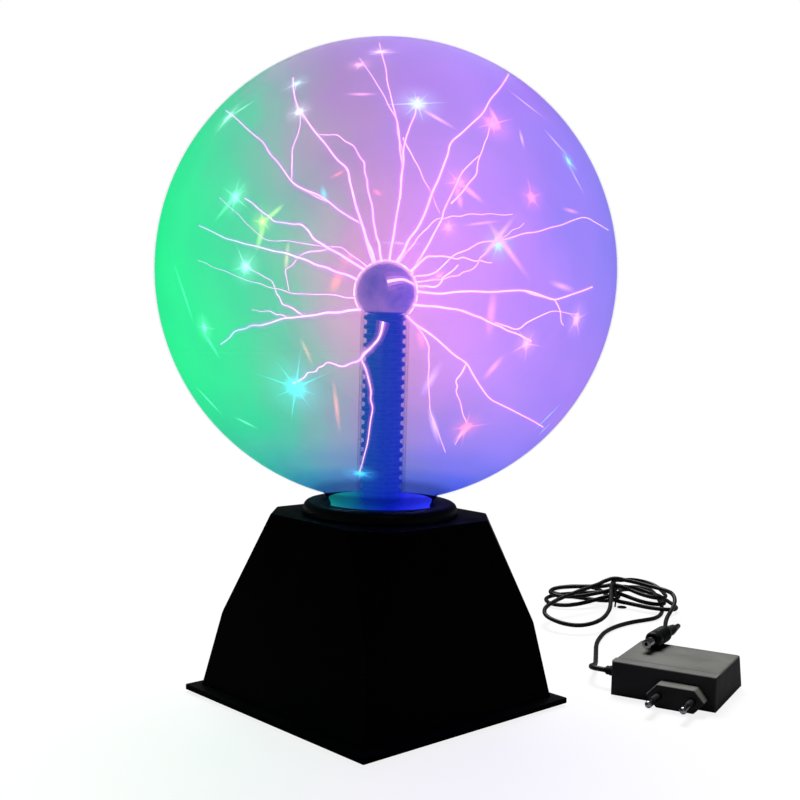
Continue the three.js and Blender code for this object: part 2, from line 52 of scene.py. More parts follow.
MM = 0.001
Point = tuple[float, float, float]
Outline = Sequence[tuple[float, float]]

# The direction from the green side of the gas's painted glow to its violet side, and the two at right angles
# to it.
SIDEWAYS_DEG = 46.742
SIDEWAYS = Vector((math.cos(math.radians(SIDEWAYS_DEG)), math.sin(math.radians(SIDEWAYS_DEG)), 0.0))
NEARWARDS = Vector((SIDEWAYS.y, -SIDEWAYS.x, 0.0))
UP = Vector((0.0, 0.0, 1.0))
GAS_HALF_WIDTH_MM = 120.0


# ---------------------------------------------------------------- mesh helpers
class Element(Enum):
    """What a selection in edit mode is made of."""

    VERTEX = "VERT"
    EDGE = "EDGE"
    FACE = "FACE"


def select_only(obj: bpy.types.Object) -> None:
    """Makes obj the one selected and active object."""
    bpy.ops.object.select_all(action="DESELECT")
    obj.select_set(True)
    bpy.context.view_layer.objects.active = obj


@contextmanager
def editing(obj: bpy.types.Object) -> Iterator[None]:
    """Holds obj in edit mode."""
    select_only(obj)
    bpy.ops.object.mode_set(mode="EDIT")
    try:
        yield
    finally:
        bpy.ops.object.mode_set(mode="OBJECT")


def pick(obj: bpy.types.Object, element: Element, wanted: Callable[[Vector, Vector], bool]) -> int:
    """Selects just the elements of obj that are wanted, in edit mode.

    Args:
        obj: The object in edit mode.
        element: What to select.
        wanted: Says whether an element is wanted, from its middle in mm and its normal. An edge gives its
            direction instead of a normal.

    Returns:
        How many elements are selected.
    """
    bpy.ops.mesh.select_mode(type=element.value)
    bpy.ops.mesh.select_all(action="DESELECT")
    mesh = bmesh.from_edit_mesh(obj.data)
    if element is Element.FACE:
        found = [f for f in mesh.faces if wanted(f.calc_center_median() / MM, f.normal)]
    elif element is Element.EDGE:
        found = [
            e
            for e in mesh.edges
            if wanted(
                (e.verts[0].co + e.verts[1].co) / (2 * MM), (e.verts[1].co - e.verts[0].co).normalized()
            )
        ]
    else:
        found = [v for v in mesh.verts if wanted(v.co / MM, v.normal)]
    for item in found:
        item.select_set(True)
    mesh.select_flush_mode()
    bmesh.update_edit_mesh(obj.data)
    return len(found)


def named(name: str) -> bpy.types.Object:
    """Names the object that was just added, and its mesh."""
    obj = bpy.context.object
    obj.name = name
    obj.data.name = name
    return obj


def laid(obj: bpy.types.Object, place: Matrix) -> bpy.types.Object:
    """Moves obj by a matrix and puts the move into its mesh."""
    obj.matrix_world = place @ obj.matrix_world
    select_only(obj)
    bpy.ops.object.transform_apply(location=True, rotation=True, scale=True)
    return obj


def shift(x: float, y: float, z: float) -> Matrix:
    """A move, in mm."""
    return Matrix.Translation(Vector((x, y, z)) * MM)


def turn(degrees: float, axis: str) -> Matrix:
    """A turn about a main axis."""
    return Matrix.Rotation(math.radians(degrees), 4, axis)


def block(name: str, low: Point, high: Point) -> bpy.types.Object:
    """A block between two corners, in mm, as a start for a piece."""
    bpy.ops.object.select_all(action="DESELECT")
    size = [(b - a) * MM for a, b in zip(low, high, strict=True)]
    middle = [(a + b) / 2 * MM for a, b in zip(low, high, strict=True)]
    bpy.ops.mesh.primitive_cube_add(size=1.0, location=middle, scale=size)
    obj = named(name)
    bpy.ops.object.transform_apply(location=True, rotation=True, scale=True)
    return obj


def turned(name: str, outline: Outline, segments: int = 64) -> bpy.types.Object:
    """Turns an outline about Z, as on a lathe.

    Args:
        name: The piece's name.
        outline: Points of (radius, height) in mm. It starts and ends on the axis, or ends where it starts.
        segments: How many steps a full turn has.

    Returns:
        The closed piece.
    """
    bpy.ops.object.select_all(action="DESELECT")
    bpy.ops.mesh.primitive_plane_add(size=MM)
    obj = named(name)
    with editing(obj):
        bpy.ops.mesh.select_mode(type="VERT")
        bpy.ops.mesh.select_all(action="SELECT")
        bpy.ops.mesh.merge(type="CENTER")
        bpy.ops.transform.translate(value=(outline[0][0] * MM, 0.0, outline[0][1] * MM))
        for (r0, z0), (r1, z1) in pairwise(outline):
            step = ((r1 - r0) * MM, 0.0, (z1 - z0) * MM)
            bpy.ops.mesh.extrude_region_move(TRANSFORM_OT_translate={"value": step})
        bpy.ops.mesh.select_all(action="SELECT")
        bpy.ops.mesh.spin(steps=segments, angle=math.tau, center=(0.0, 0.0, 0.0), axis=(0.0, 0.0, 1.0))
    tidied(obj)
    return obj


def tidied(obj: bpy.types.Object) -> bpy.types.Object:
    """Merges the doubles of a closed piece and turns its faces outwards."""
    with editing(obj):
        bpy.ops.mesh.select_all(action="SELECT")
        bpy.ops.mesh.remove_doubles(threshold=MM / 1000)
        bpy.ops.mesh.normals_make_consistent(inside=False)
    return obj


def prism(name: str, outline: Outline, depth: float) -> bpy.types.Object:
    """An outline of (x, y) points in mm, given a depth along Z from z = 0."""
    bpy.ops.object.select_all(action="DESELECT")
    bpy.ops.mesh.primitive_plane_add(size=MM)
    obj = named(name)
    with editing(obj):
        bpy.ops.mesh.select_mode(type="VERT")
        bpy.ops.mesh.select_all(action="SELECT")
        bpy.ops.mesh.merge(type="CENTER")
        bpy.ops.transform.translate(value=(outline[0][0] * MM, outline[0][1] * MM, 0.0))
        for (x0, y0), (x1, y1) in pairwise([*outline, outline[0]]):
            step = ((x1 - x0) * MM, (y1 - y0) * MM, 0.0)
            bpy.ops.mesh.extrude_region_move(TRANSFORM_OT_translate={"value": step})
        bpy.ops.mesh.select_all(action="SELECT")
        bpy.ops.mesh.remove_doubles(threshold=MM / 1000)
        bpy.ops.mesh.select_all(action="SELECT")
        bpy.ops.mesh.edge_face_add()
        bpy.ops.mesh.select_all(action="SELECT")
        bpy.ops.mesh.extrude_region_move(TRANSFORM_OT_translate={"value": (0.0, 0.0, depth * MM)})
    return tidied(obj)


def copied(obj: bpy.types.Object, name: str, place: Matrix) -> bpy.types.Object:
    """A copy of obj with its own mesh, moved by a matrix."""
    select_only(obj)
    bpy.ops.object.duplicate(linked=False)
    return laid(named(name), place)


def together(name: str, pieces: Sequence[bpy.types.Object]) -> bpy.types.Object:
    """Joins pieces into one object."""
    select_only(pieces[0])
    for piece in pieces[1:]:
        piece.select_set(True)
    if len(pieces) > 1:
        bpy.ops.object.join()
    return named(name)


def finished(obj: bpy.types.Object, kind: str, **settings: object) -> bpy.types.Object:
    """Adds a modifier with its settings and applies it."""
    select_only(obj)
    modifier = obj.modifiers.new(kind.lower(), kind)
    for key, value in settings.items():
        setattr(modifier, key, value)
    bpy.ops.object.modifier_apply(modifier=modifier.name)
    return obj


def boolean(obj: bpy.types.Object, operation: str, *tools: bpy.types.Object) -> bpy.types.Object:
    """Cuts tools out of obj, or adds them to it, and removes them."""
    for tool in tools:
        finished(obj, "BOOLEAN", operation=operation, object=tool, solver="EXACT")
        bpy.data.objects.remove(tool)
    return obj


def rounded(obj: bpy.types.Object, width: float, segments: int = 3, angle: float = 30.0) -> bpy.types.Object:
    """Rounds every edge that is sharper than an angle, by a width in mm."""
    return finished(
        obj, "BEVEL", width=width * MM, segments=segments, limit_method="ANGLE",
        angle_limit=math.radians(angle), use_clamp_overlap=True,
    )


def smooth(obj: bpy.types.Object, angle: float = 32.0) -> bpy.types.Object:
    """Smooths the shading over edges flatter than an angle, with flat faces kept flat."""
    select_only(obj)
    bpy.ops.object.shade_smooth_by_angle(angle=math.radians(angle))
    return finished(obj, "WEIGHTED_NORMAL", keep_sharp=True, weight=80)


def arc(radius: float, start: float, end: float, count: int, centre: tuple[float, float] = (0, 0)) -> Outline:
    """Points on an arc between two angles in degrees, about a centre of (radius, height)."""
    angles = [math.radians(start + (end - start) * i / count) for i in range(count + 1)]
    return [(centre[0] + radius * math.cos(a), centre[1] + radius * math.sin(a)) for a in angles]


def curve_of(
    name: str, courses: Sequence[Sequence[Vector]], radii: Sequence[Sequence[float]]
) -> bpy.types.Object:
    """A curve object with one smooth spline through each course.

    Args:
        name: The object's name.
        courses: The points of each spline, in metres.
        radii: The thickness at each of those points, as a share of the bevel depth.

    Returns:
        The curve object, without thickness.
    """
    bpy.ops.object.select_all(action="DESELECT")
    bpy.ops.curve.primitive_bezier_curve_add()
    obj = named(name)
    data = obj.data
    data.splines.clear()
    data.dimensions = "3D"
    for course, widths in zip(courses, radii, strict=True):
        spline = data.splines.new("BEZIER")
        spline.bezier_points.add(len(course) - 1)
        for knot, place, width in zip(spline.bezier_points, course, widths, strict=True):
            knot.co = place
            knot.radius = width
            knot.handle_left_type = knot.handle_right_type = "AUTO"
    data.use_fill_caps = True
    return obj


# ---------------------------------------------------------------- material helpers
def linear(code: str) -> tuple[float, float, float]:
    """The linear colour of an sRGB hex code."""
    parts = [int(code[i : i + 2], 16) / 255 for i in (0, 2, 4)]
    return tuple(c / 12.92 if c <= 0.04045 else ((c + 0.055) / 1.055) ** 2.4 for c in parts)


def rgba(code: str, root: float = 1.0) -> tuple[float, float, float, float]:
    """A colour for a socket. With a root, that many walls of it together let the sRGB colour through."""
    return (*(c ** (1 / root) for c in linear(code)), 1.0)


def set_stops(ramp: bpy.types.ColorRamp, stops: Sequence[tuple[float, tuple]]) -> None:
    """Gives a colour ramp these (position, colour) stops."""
    while len(ramp.elements) < len(stops):
        ramp.elements.new(0.5)
    for element, (position, colour) in zip(ramp.elements, stops, strict=True):
        element.position = position
        element.color = colour


def node(
    tree: bpy.types.NodeTree, kind: str, settings: dict | None = None, links: dict | None = None
) -> bpy.types.Node:
    """Adds a node.

    Args:
        tree: The material's or world's tree.
        kind: The node's type name, without "ShaderNode" before it.
        settings: Values of the node's inputs or its own properties, by name or input number. A colour ramp
            also takes its stops and its interpolation.
        links: The output socket that feeds each input, by the input's name or number.

    Returns:
        The new node.
    """
    made = tree.nodes.new("ShaderNode" + kind)
    for key, value in (settings or {}).items():
        if key == "stops":
            set_stops(made.color_ramp, value)
        elif key == "interpolation":
            made.color_ramp.interpolation = value
        elif isinstance(key, int) or key in made.inputs:
            made.inputs[key].default_value = value
        else:
            setattr(made, key, value)
    for key, socket in (links or {}).items():
        tree.links.new(socket, made.inputs[key])
    return made


def fresh_material(name: str) -> tuple[bpy.types.Material, bpy.types.NodeTree, bpy.types.Node]:
    """A new material with an empty tree that has only its output."""
    material = bpy.data.materials.new(name)
    material.use_nodes = True
    material.node_tree.nodes.clear()
    return material, material.node_tree, node(material.node_tree, "OutputMaterial")


def towards_violet(
    tree: bpy.types.NodeTree, place: bpy.types.NodeSocket, half_width_mm: float
) -> tuple[bpy.types.Node, bpy.types.NodeSocket]:
    """Turns places to the gas's own directions.

    Args:
        tree: The material's tree.
        place: The places, in the piece's own space.
        half_width_mm: How far from the middle the run from green to violet ends.

    Returns:
        The turned places by axis, and how far each is from the green end (0) to the violet one (1).
    """
    turned_place = node(
        tree, "Mapping", {"Rotation": (0.0, 0.0, math.radians(-SIDEWAYS_DEG))}, {"Vector": place}
    )
    axes = node(tree, "SeparateXYZ", links={"Vector": turned_place.outputs["Vector"]})
    half = half_width_mm * MM
    along = node(
        tree, "MapRange", {"From Min": -half, "From Max": half, "To Min": 0.0, "To Max": 1.0},
        {"Value": axes.outputs["X"]},
    )
    return axes, along.outputs["Result"]


@dataclass(frozen=True)
class Moulded:
    """Injection-moulded plastic or rubber: a fine spark-eroded grain, cloudy gloss and a slight mottle."""

    name: str
    colour: str
    mottle: str
    roughness: float
    rougher: float
    grain_mm: float = 0.5
    depth_mm: float = 0.02
    cloud_mm: float = 18.0
    coat: float = 0.0
    specular: float = 0.5

    def material(self) -> bpy.types.Material:
        """Builds the material."""
        made, tree, output = fresh_material(self.name)
        place = node(tree, "TexCoord").outputs["Object"]
        cloud = node(
            tree, "TexNoise", {"Scale": 1 / (self.cloud_mm * MM), "Detail": 5.0, "Roughness": 0.55},
            {"Vector": place},
        )
        fine = node(
            tree, "TexNoise", {"Scale": 1 / (self.grain_mm * MM), "Detail": 3.0, "Roughness": 0.55},
            {"Vector": place},
        )
        colour = node(
            tree, "ValToRGB", {"stops": [(0.35, rgba(self.colour)), (0.65, rgba(self.mottle))]},
            {"Fac": cloud.outputs["Fac"]},
        ).outputs["Color"]
        rough = node(
            tree, "MapRange",
            {"From Min": 0.3, "From Max": 0.7, "To Min": self.roughness, "To Max": self.rougher},
            {"Value": cloud.outputs["Fac"]},
        ).outputs["Result"]
        bump = node(
            tree, "Bump", {"Strength": 0.6, "Distance": self.depth_mm * MM},
            {"Height": fine.outputs["Fac"]},
        )
        shader = node(
            tree, "BsdfPrincipled",
            {
                "IOR": 1.5, "Specular IOR Level": self.specular, "Coat Weight": self.coat,
                "Coat Roughness": 0.12,
            },
            {"Base Color": colour, "Roughness": rough, "Normal": bump.outputs["Normal"]},
        )
        tree.links.new(shader.outputs["BSDF"], output.inputs["Surface"])
        return made


@dataclass(frozen=True)
class Metal:
    """A turned, drawn or plated metal: brushing runs one way and dulls the shine in fine lines."""

    name: str
    colour: str
    tarnish: str
    roughness: float
    rougher: float
    line_mm: float = 0.25
    stretch: Point = (1.0, 1.0, 12.0)
    depth_mm: float = 0.004

    def material(self) -> bpy.types.Material:
        """Builds the material."""
        made, tree, output = fresh_material(self.name)
        place = node(tree, "TexCoord").outputs["Object"]
        drawn = node(
            tree, "Mapping", {"Scale": tuple(1 / s for s in self.stretch)},
            {"Vector": place},
        )
        lines = node(
            tree, "TexNoise", {"Scale": 1 / (self.line_mm * MM), "Detail": 2.0},
            {"Vector": drawn.outputs["Vector"]},
        )
        cloud = node(
            tree, "TexNoise", {"Scale": 1 / (6.0 * MM), "Detail": 4.0, "Roughness": 0.55},
            {"Vector": place},
        )
        colour = node(
            tree, "ValToRGB", {"stops": [(0.4, rgba(self.colour)), (0.72, rgba(self.tarnish))]},
            {"Fac": cloud.outputs["Fac"]},
        ).outputs["Color"]
        rough = node(
            tree, "MapRange",
            {"From Min": 0.3, "From Max": 0.7, "To Min": self.roughness, "To Max": self.rougher},
            {"Value": lines.outputs["Fac"]},
        ).outputs["Result"]
        bump = node(
            tree, "Bump", {"Strength": 0.4, "Distance": self.depth_mm * MM},
            {"Height": lines.outputs["Fac"]},
        )
        shader = node(
            tree, "BsdfPrincipled", {"Metallic": 1.0},
            {"Base Color": colour, "Roughness": rough, "Normal": bump.outputs["Normal"]},
        )
        tree.links.new(shader.outputs["BSDF"], output.inputs["Surface"])
        return made


@dataclass(frozen=True)
class Glass:
    """Blown glass: clear when faced, mirroring towards its rim, with faint waves from blowing."""

    name: str
    tint: str
    deeper: str
    mirror: float = 0.5
    facing_mirror: float = 0.006
    roughness: float = 0.03
    wave_mm: float = 40.0

    def material(self) -> bpy.types.Material:
        """Builds the material."""
        made, tree, output = fresh_material(self.name)
        place = node(tree, "TexCoord").outputs["Object"]
        wave = node(
            tree, "TexNoise", {"Scale": 1 / (self.wave_mm * MM), "Detail": 1.0, "Roughness": 0.55},
            {"Vector": place},
        )
        bump = node(tree, "Bump", {"Strength": 0.15, "Distance": 0.4 * MM}, {"Height": wave.outputs["Fac"]})
        colour = node(
            tree, "ValToRGB", {"stops": [(0.3, rgba(self.tint)), (0.75, rgba(self.deeper))]},
            {"Fac": wave.outputs["Fac"]},
        ).outputs["Color"]
        through = node(tree, "BsdfTransparent", links={"Color": colour})
        gloss = node(
            tree, "BsdfGlossy", {"Roughness": self.roughness}, {"Normal": bump.outputs["Normal"]}
        )
        rim = node(tree, "LayerWeight", {"Blend": 0.5}, {"Normal": bump.outputs["Normal"]})
        steep = node(tree, "Math", {"operation": "POWER", 1: 5.0}, {0: rim.outputs["Facing"]})
        share = node(
            tree, "Math", {"operation": "MULTIPLY_ADD", 1: self.mirror, 2: self.facing_mirror},
            {0: steep.outputs["Value"]},
        )
        mix = node(
            tree, "MixShader",
            links={0: share.outputs["Value"], 1: through.outputs["BSDF"], 2: gloss.outputs["BSDF"]},
        )
        tree.links.new(mix.outputs["Shader"], output.inputs["Surface"])
        return made


@dataclass(frozen=True)
class GasGlowTint:
    """The gas's glow, painted as a tint on the light that crosses it: green on one side and violet on the
    other, and blue low down with a dark band at the flare, a painted reflection of the dark stand.
    """

    name: str = "painted_gas_glow_tint"
    walls: float = 4.0
    half_width_mm: float = 125.0
    low_mm: float = 84.0
    high_mm: float = 362.0
    drift: float = 0.06
    lean: float = 0.16
    # Green to violet across the globe: the gas's glow, painted as a tint on what lies behind.
    across: tuple[tuple[float, str], ...] = (
        (0.02, "30FF9C"), (0.10, "3CF8A0"), (0.20, "58E4AA"), (0.275, "86CEB6"), (0.34, "A4B8BE"),
        (0.40, "B6A8C6"), (0.47, "BE98D2"), (0.60, "C494F2"), (0.73, "C294FE"), (0.86, "B48CFF"),
        (0.98, "988CFF"),
    )
    # Blue low down with a dark band at the flare, then white: a painted reflection of the dark stand below
    # the glass.
    reflection_and_glow_upwards: tuple[tuple[float, str], ...] = (
        (0.08, "4890FF"), (0.115, "2C58A8"), (0.128, "60A8FF"), (0.15, "94CEFF"), (0.20, "CCEBFF"),
        (0.28, "F2F9FF"), (0.38, "FFFFFF"), (0.85, "FFFFFF"), (0.98, "E8ECFF"),
    )

    def material(self) -> bpy.types.Material:
        """Builds the material."""
        made, tree, output = fresh_material(self.name)
        place = node(tree, "TexCoord").outputs["Object"]
        cloud = node(
            tree, "TexNoise", {"Scale": 1 / (70 * MM), "Detail": 2.0}, {"Vector": place}
        )
        axes, along = towards_violet(tree, place, self.half_width_mm)
        wander = node(
            tree, "MapRange",
            {"From Min": 0.25, "From Max": 0.75, "To Min": -self.drift, "To Max": self.drift},
            {"Value": cloud.outputs["Fac"]},
        ).outputs["Result"]
        high = node(
            tree, "MapRange",
            {"From Min": self.low_mm * MM, "From Max": self.high_mm * MM, "To Min": 0.0, "To Max": 1.0},
            {"Value": axes.outputs["Z"]},
        ).outputs["Result"]
        leaning = node(
            tree, "MapRange",
            {"From Min": 0.05, "From Max": 1.0, "To Min": -self.lean / 2, "To Max": self.lean / 2},
            {"Value": high},
        ).outputs["Result"]
        level = node(tree, "Math", {"operation": "ADD"}, {0: along, 1: leaning})
        drifted = node(tree, "Math", {"operation": "ADD"}, {0: level.outputs["Value"], 1: wander})
        sides = node(
            tree, "ValToRGB",
            {"stops": [(p, rgba(c, self.walls)) for p, c in self.across], "interpolation": "EASE"},
            {"Fac": drifted.outputs["Value"]},
        ).outputs["Color"]
        # The painted reflection of the stand, by height.
        painted_reflection_and_glow = node(
            tree, "ValToRGB",
            {"stops": [(p, rgba(c, self.walls)) for p, c in self.reflection_and_glow_upwards], "interpolation": "EASE"},
            {"Fac": high},
        ).outputs["Color"]
        colour = node(
            tree, "Mix", {"data_type": "RGBA", "blend_type": "MULTIPLY", 0: 1.0}, {6: sides, 7: painted_reflection_and_glow}
        )
        through = node(tree, "BsdfTransparent", links={"Color": colour.outputs[2]})
        tree.links.new(through.outputs["BSDF"], output.inputs["Surface"])
        return made


# ---------------------------------------------------------------- camera, light and floor
@dataclass(frozen=True)
class CameraRig:
    """The camera, placed by its direction from the object and its shift from the object's axis."""

    azimuth_deg: float = 46.742
    elevation_deg: float = 3.598
    roll_deg: float = 1.553
    distance_mm: float = 674.463
    right_mm: float = 13.856
    up_mm: float = 166.462
    lens_mm: float = 54.31

    def axes(self) -> tuple[Vector, Vector, Vector]:
        """The camera's right, up and backward directions."""
        azimuth, elevation = math.radians(self.azimuth_deg), math.radians(self.elevation_deg)
        back = Vector(
            (
                math.sin(azimuth) * math.cos(elevation), -math.cos(azimuth) * math.cos(elevation),
                math.sin(elevation),
            )
        )
        right = Vector((math.cos(azimuth), math.sin(azimuth), 0.0))
        up = back.cross(right)
        roll = math.radians(self.roll_deg)
        level = right * math.cos(roll) + up * math.sin(roll)
        return level, up * math.cos(roll) - right * math.sin(roll), back

    def place(self) -> Vector:
        """Where the camera stands, in metres."""
        right, up, back = self.axes()
        return (back * self.distance_mm + right * self.right_mm + up * self.up_mm) * MM

    def build(self) -> None:
        """Adds the camera and makes it the scene's own."""
        bpy.ops.object.camera_add(location=self.place())
        camera = bpy.context.object
        camera.name = "studio_camera"
        camera.rotation_euler = Matrix(self.axes()).transposed().to_euler()
        camera.data.sensor_width = 36.0
        camera.data.lens = self.lens_mm
        camera.data.clip_start = 0.01
        bpy.context.scene.camera = camera


@dataclass(frozen=True)
class Studio:
    """A white cove with one big soft light overhead and a weaker one beside the object."""

    overhead: float = 14.0
    overhead_spread_deg: float = 30.0
    overhead_lean: float = 0.42
    side_w: float = 0.35
    rear_w: float = 12.0
    surroundings: float = 0.03

    def world(self) -> None:
        """White where it is looked at, and dim where it is mirrored, so that black plastic stays black."""
        world = bpy.data.worlds.new("white_cove")
        bpy.context.scene.world = world
        world.use_nodes = True
        tree = world.node_tree
        tree.nodes.clear()
        seen = node(tree, "LightPath")
        bright = node(tree, "Background", {"Color": (1, 1, 1, 1), "Strength": 1.0})
        dim = node(tree, "Background", {"Color": (1, 1, 1, 1), "Strength": self.surroundings})
        mix = node(
            tree, "MixShader",
            links={
                0: seen.outputs["Is Camera Ray"], 1: dim.outputs["Background"],
                2: bright.outputs["Background"],
            },
        )
        output = node(tree, "OutputWorld")
        tree.links.new(mix.outputs["Shader"], output.inputs["Surface"])

    def lamp(self, name: str, place: Point, aim: Point, size: float, power: float) -> None:
        """Adds an area light, with its place, aim and size in metres."""
        bpy.ops.object.light_add(type="AREA", location=place)
        lamp = bpy.context.object
        lamp.name = name
        lamp.data.shape = "DISK"
        lamp.data.size = size
        lamp.data.energy = power
        lamp.rotation_euler = (Vector(aim) - Vector(place)).to_track_quat("-Z", "Y").to_euler()

    def floor(self) -> None:
        """A matt white floor. It is dim to rays that bounce, as the walls are."""
        bpy.ops.mesh.primitive_plane_add(size=12.0, location=(0.0, 0.0, -0.0003))
        floor = named("floor")
        material, tree, output = fresh_material("white_painted_floor")
        seen = node(tree, "LightPath")
        place = node(tree, "TexCoord").outputs["Object"]
        paper = node(
            tree, "TexNoise", {"Scale": 1 / (400.0 * MM), "Detail": 2.0, "Roughness": 0.55},
            {"Vector": place},
        )
        white = node(
            tree, "ValToRGB",
            {"stops": [(0.3, (0.034, 0.034, 0.034, 1)), (0.7, (0.037, 0.037, 0.037, 1))]},
            {"Fac": paper.outputs["Fac"]},
        ).outputs["Color"]
        lit = node(tree, "BsdfDiffuse", links={"Color": white})
        own = node(tree, "Emission", {"Strength": 0.86})
        bright = node(tree, "AddShader", links={0: lit.outputs["BSDF"], 1: own.outputs["Emission"]})
        dim = node(tree, "BsdfDiffuse", {"Color": (0.04, 0.04, 0.04, 1)})
        mix = node(
            tree, "MixShader",
            links={0: seen.outputs["Is Camera Ray"], 1: dim.outputs["BSDF"], 2: bright.outputs["Shader"]},
        )
        tree.links.new(mix.outputs["Shader"], output.inputs["Surface"])
        floor.data.materials.append(material)

    def build(self) -> None:
        """Adds the world, the lights and the floor."""
        self.world()
        falling = NEARWARDS * self.overhead_lean - UP
        bpy.ops.object.light_add(
            type="SUN", location=-falling, rotation=falling.to_track_quat("-Z", "Y").to_euler()
        )
        overhead = bpy.context.object
        overhead.name = "overhead_light"
        overhead.visible_glossy = False
        overhead.data.energy = self.overhead
        overhead.data.angle = math.radians(self.overhead_spread_deg)
        self.lamp("side_softbox", (1.1, -0.7, 0.9), (0.05, 0.05, 0.1), 0.6, self.side_w)
        self.lamp("rear_softbox", UP * 1.3 - NEARWARDS * 0.9, (0.05, 0.15, 0.0), 1.3, self.rear_w)
        self.floor()
        settings = bpy.context.scene.view_settings
        settings.view_transform = "Standard"
        settings.look = "None"
        bpy.context.scene.cycles.transparent_max_bounces = 64


# ---------------------------------------------------------------- finishes
# Glossy black ABS of the stand: nearly pure black, with a soft shine and faint cloudy wear.
STAND_ABS = Moulded(
    "moulded_black_abs", "020202", "050505", 0.3, 0.42, grain_mm=0.6, depth_mm=0.012, specular=0.03
)
# Satin black ABS of the collar and switch: a little finer and shinier than the stand.
COLLAR_ABS = Moulded(
    "satin_black_abs", "040506", "080909", 0.3, 0.4, grain_mm=0.45, depth_mm=0.01, specular=0.2
)
# Spark-eroded grey-black polycarbonate of the adapter: matt, so light from above turns it grey.
ADAPTER_PC = Moulded(
    "textured_adapter_polycarbonate", "343432", "3C3C3A", 0.5, 0.62, grain_mm=0.7, depth_mm=0.05
)
# Soft glossy PVC of the cord: bright narrow highlights along its length.
CORD_PVC = Moulded("extruded_cord_pvc", "08080A", "101012", 0.22, 0.34, grain_mm=0.9, depth_mm=0.015)
# Rubber of feet, boots and gasket: dull, with a fine bloom.
SOFT_RUBBER = Moulded("moulded_rubber", "101010", "1A1A19", 0.6, 0.8, grain_mm=0.4, depth_mm=0.03)
# Phenolic insulators: dark, hard and satin.
PHENOLIC = Moulded("phenolic_resin", "0E0E10", "18181A", 0.4, 0.55, grain_mm=0.5)
# Nickel-plated brass of pins and plug: bright, with fine turning lines.
PLATED = Metal("nickel_plated_brass", "F2F2F4", "C9C9CC", 0.06, 0.16, stretch=(1.0, 1.0, 1.0))
# Zinc-plated steel screws and nut: greyish with a slight blue cast.
ZINC_STEEL = Metal("zinc_plated_steel", "C4C8CC", "90959A", 0.22, 0.4)
# Turned brass of the socket and contacts: warm yellow, with fine tool lines.
BRASS = Metal("turned_brass", "D8B25A", "A07C34", 0.18, 0.35)
# Extruded aluminium of the heat sink: pale, with long lines from the die.
ALUMINIUM = Metal("extruded_aluminium", "C8CACC", "9EA1A4", 0.28, 0.42, stretch=(1.0, 1.0, 20.0))
# Enamelled copper wire: reddish brown under clear enamel, ribbed by its turns.
ENAMELLED_COPPER = Metal(
    "enamelled_copper_wire", "C46A34", "8A3E1C", 0.25, 0.4, line_mm=0.4, stretch=(8.0, 8.0, 1.0)
)
# Fired ferrite: dark grey ceramic with an open grain.
FERRITE = Moulded("fired_ferrite", "242426", "323234", 0.55, 0.75, grain_mm=0.3, depth_mm=0.05)
# Moulded epoxy of chip and transistor bodies: nearly black and satin.
EPOXY = Moulded("moulded_epoxy", "141416", "1E1E20", 0.35, 0.5, grain_mm=0.4)
# Glass-epoxy laminate under its solder mask: green, glossy, with a trace of the weave.
LAMINATE = Moulded(
    "glass_epoxy_laminate", "1C6A38", "267A44", 0.3, 0.45, grain_mm=0.8, depth_mm=0.03, coat=0.3
)
# Shrunk PVC sleeve of a capacitor can: dark blue and glossy.
CAN_SLEEVE = Moulded("shrunk_pvc_sleeve", "16244E", "1E3064", 0.2, 0.32, grain_mm=1.2)
# Dipped case of a film capacitor: mustard yellow, a little lumpy.
FILM_CASE = Moulded("dipped_film_case", "C89A22", "D8AC34", 0.25, 0.38, grain_mm=1.5, depth_mm=0.05)
# PVC insulation of the inner leads: red and softly glossy.
LEAD_PVC = Moulded("red_lead_insulation", "A01414", "B42020", 0.28, 0.42, grain_mm=0.8)


class Finish(Protocol):
    """A finish has a name and builds its own material."""

    name: str

    def material(self) -> bpy.types.Material:
        """Builds the material."""


def dress(obj: bpy.types.Object, finish: Finish) -> bpy.types.Object:
    """Gives obj one finish all over, made once and shared."""
    material = bpy.data.materials.get(finish.name) or finish.material()
    obj.data.materials.clear()
    obj.data.materials.append(material)
    return obj


def stands_for(obj: bpy.types.Object, body: str, slot: str, *nodes: str) -> bpy.types.Object:
    """Rides obj on a body and, where nodes are given, hides the CAD nodes it stands for. The slot is not
    used.
    """
    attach(obj, body)
    if nodes:
        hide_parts(*nodes)
    LOG.info("%s: %d faces, on %s", obj.name, len(getattr(obj.data, "polygons", [])), body)
    return obj


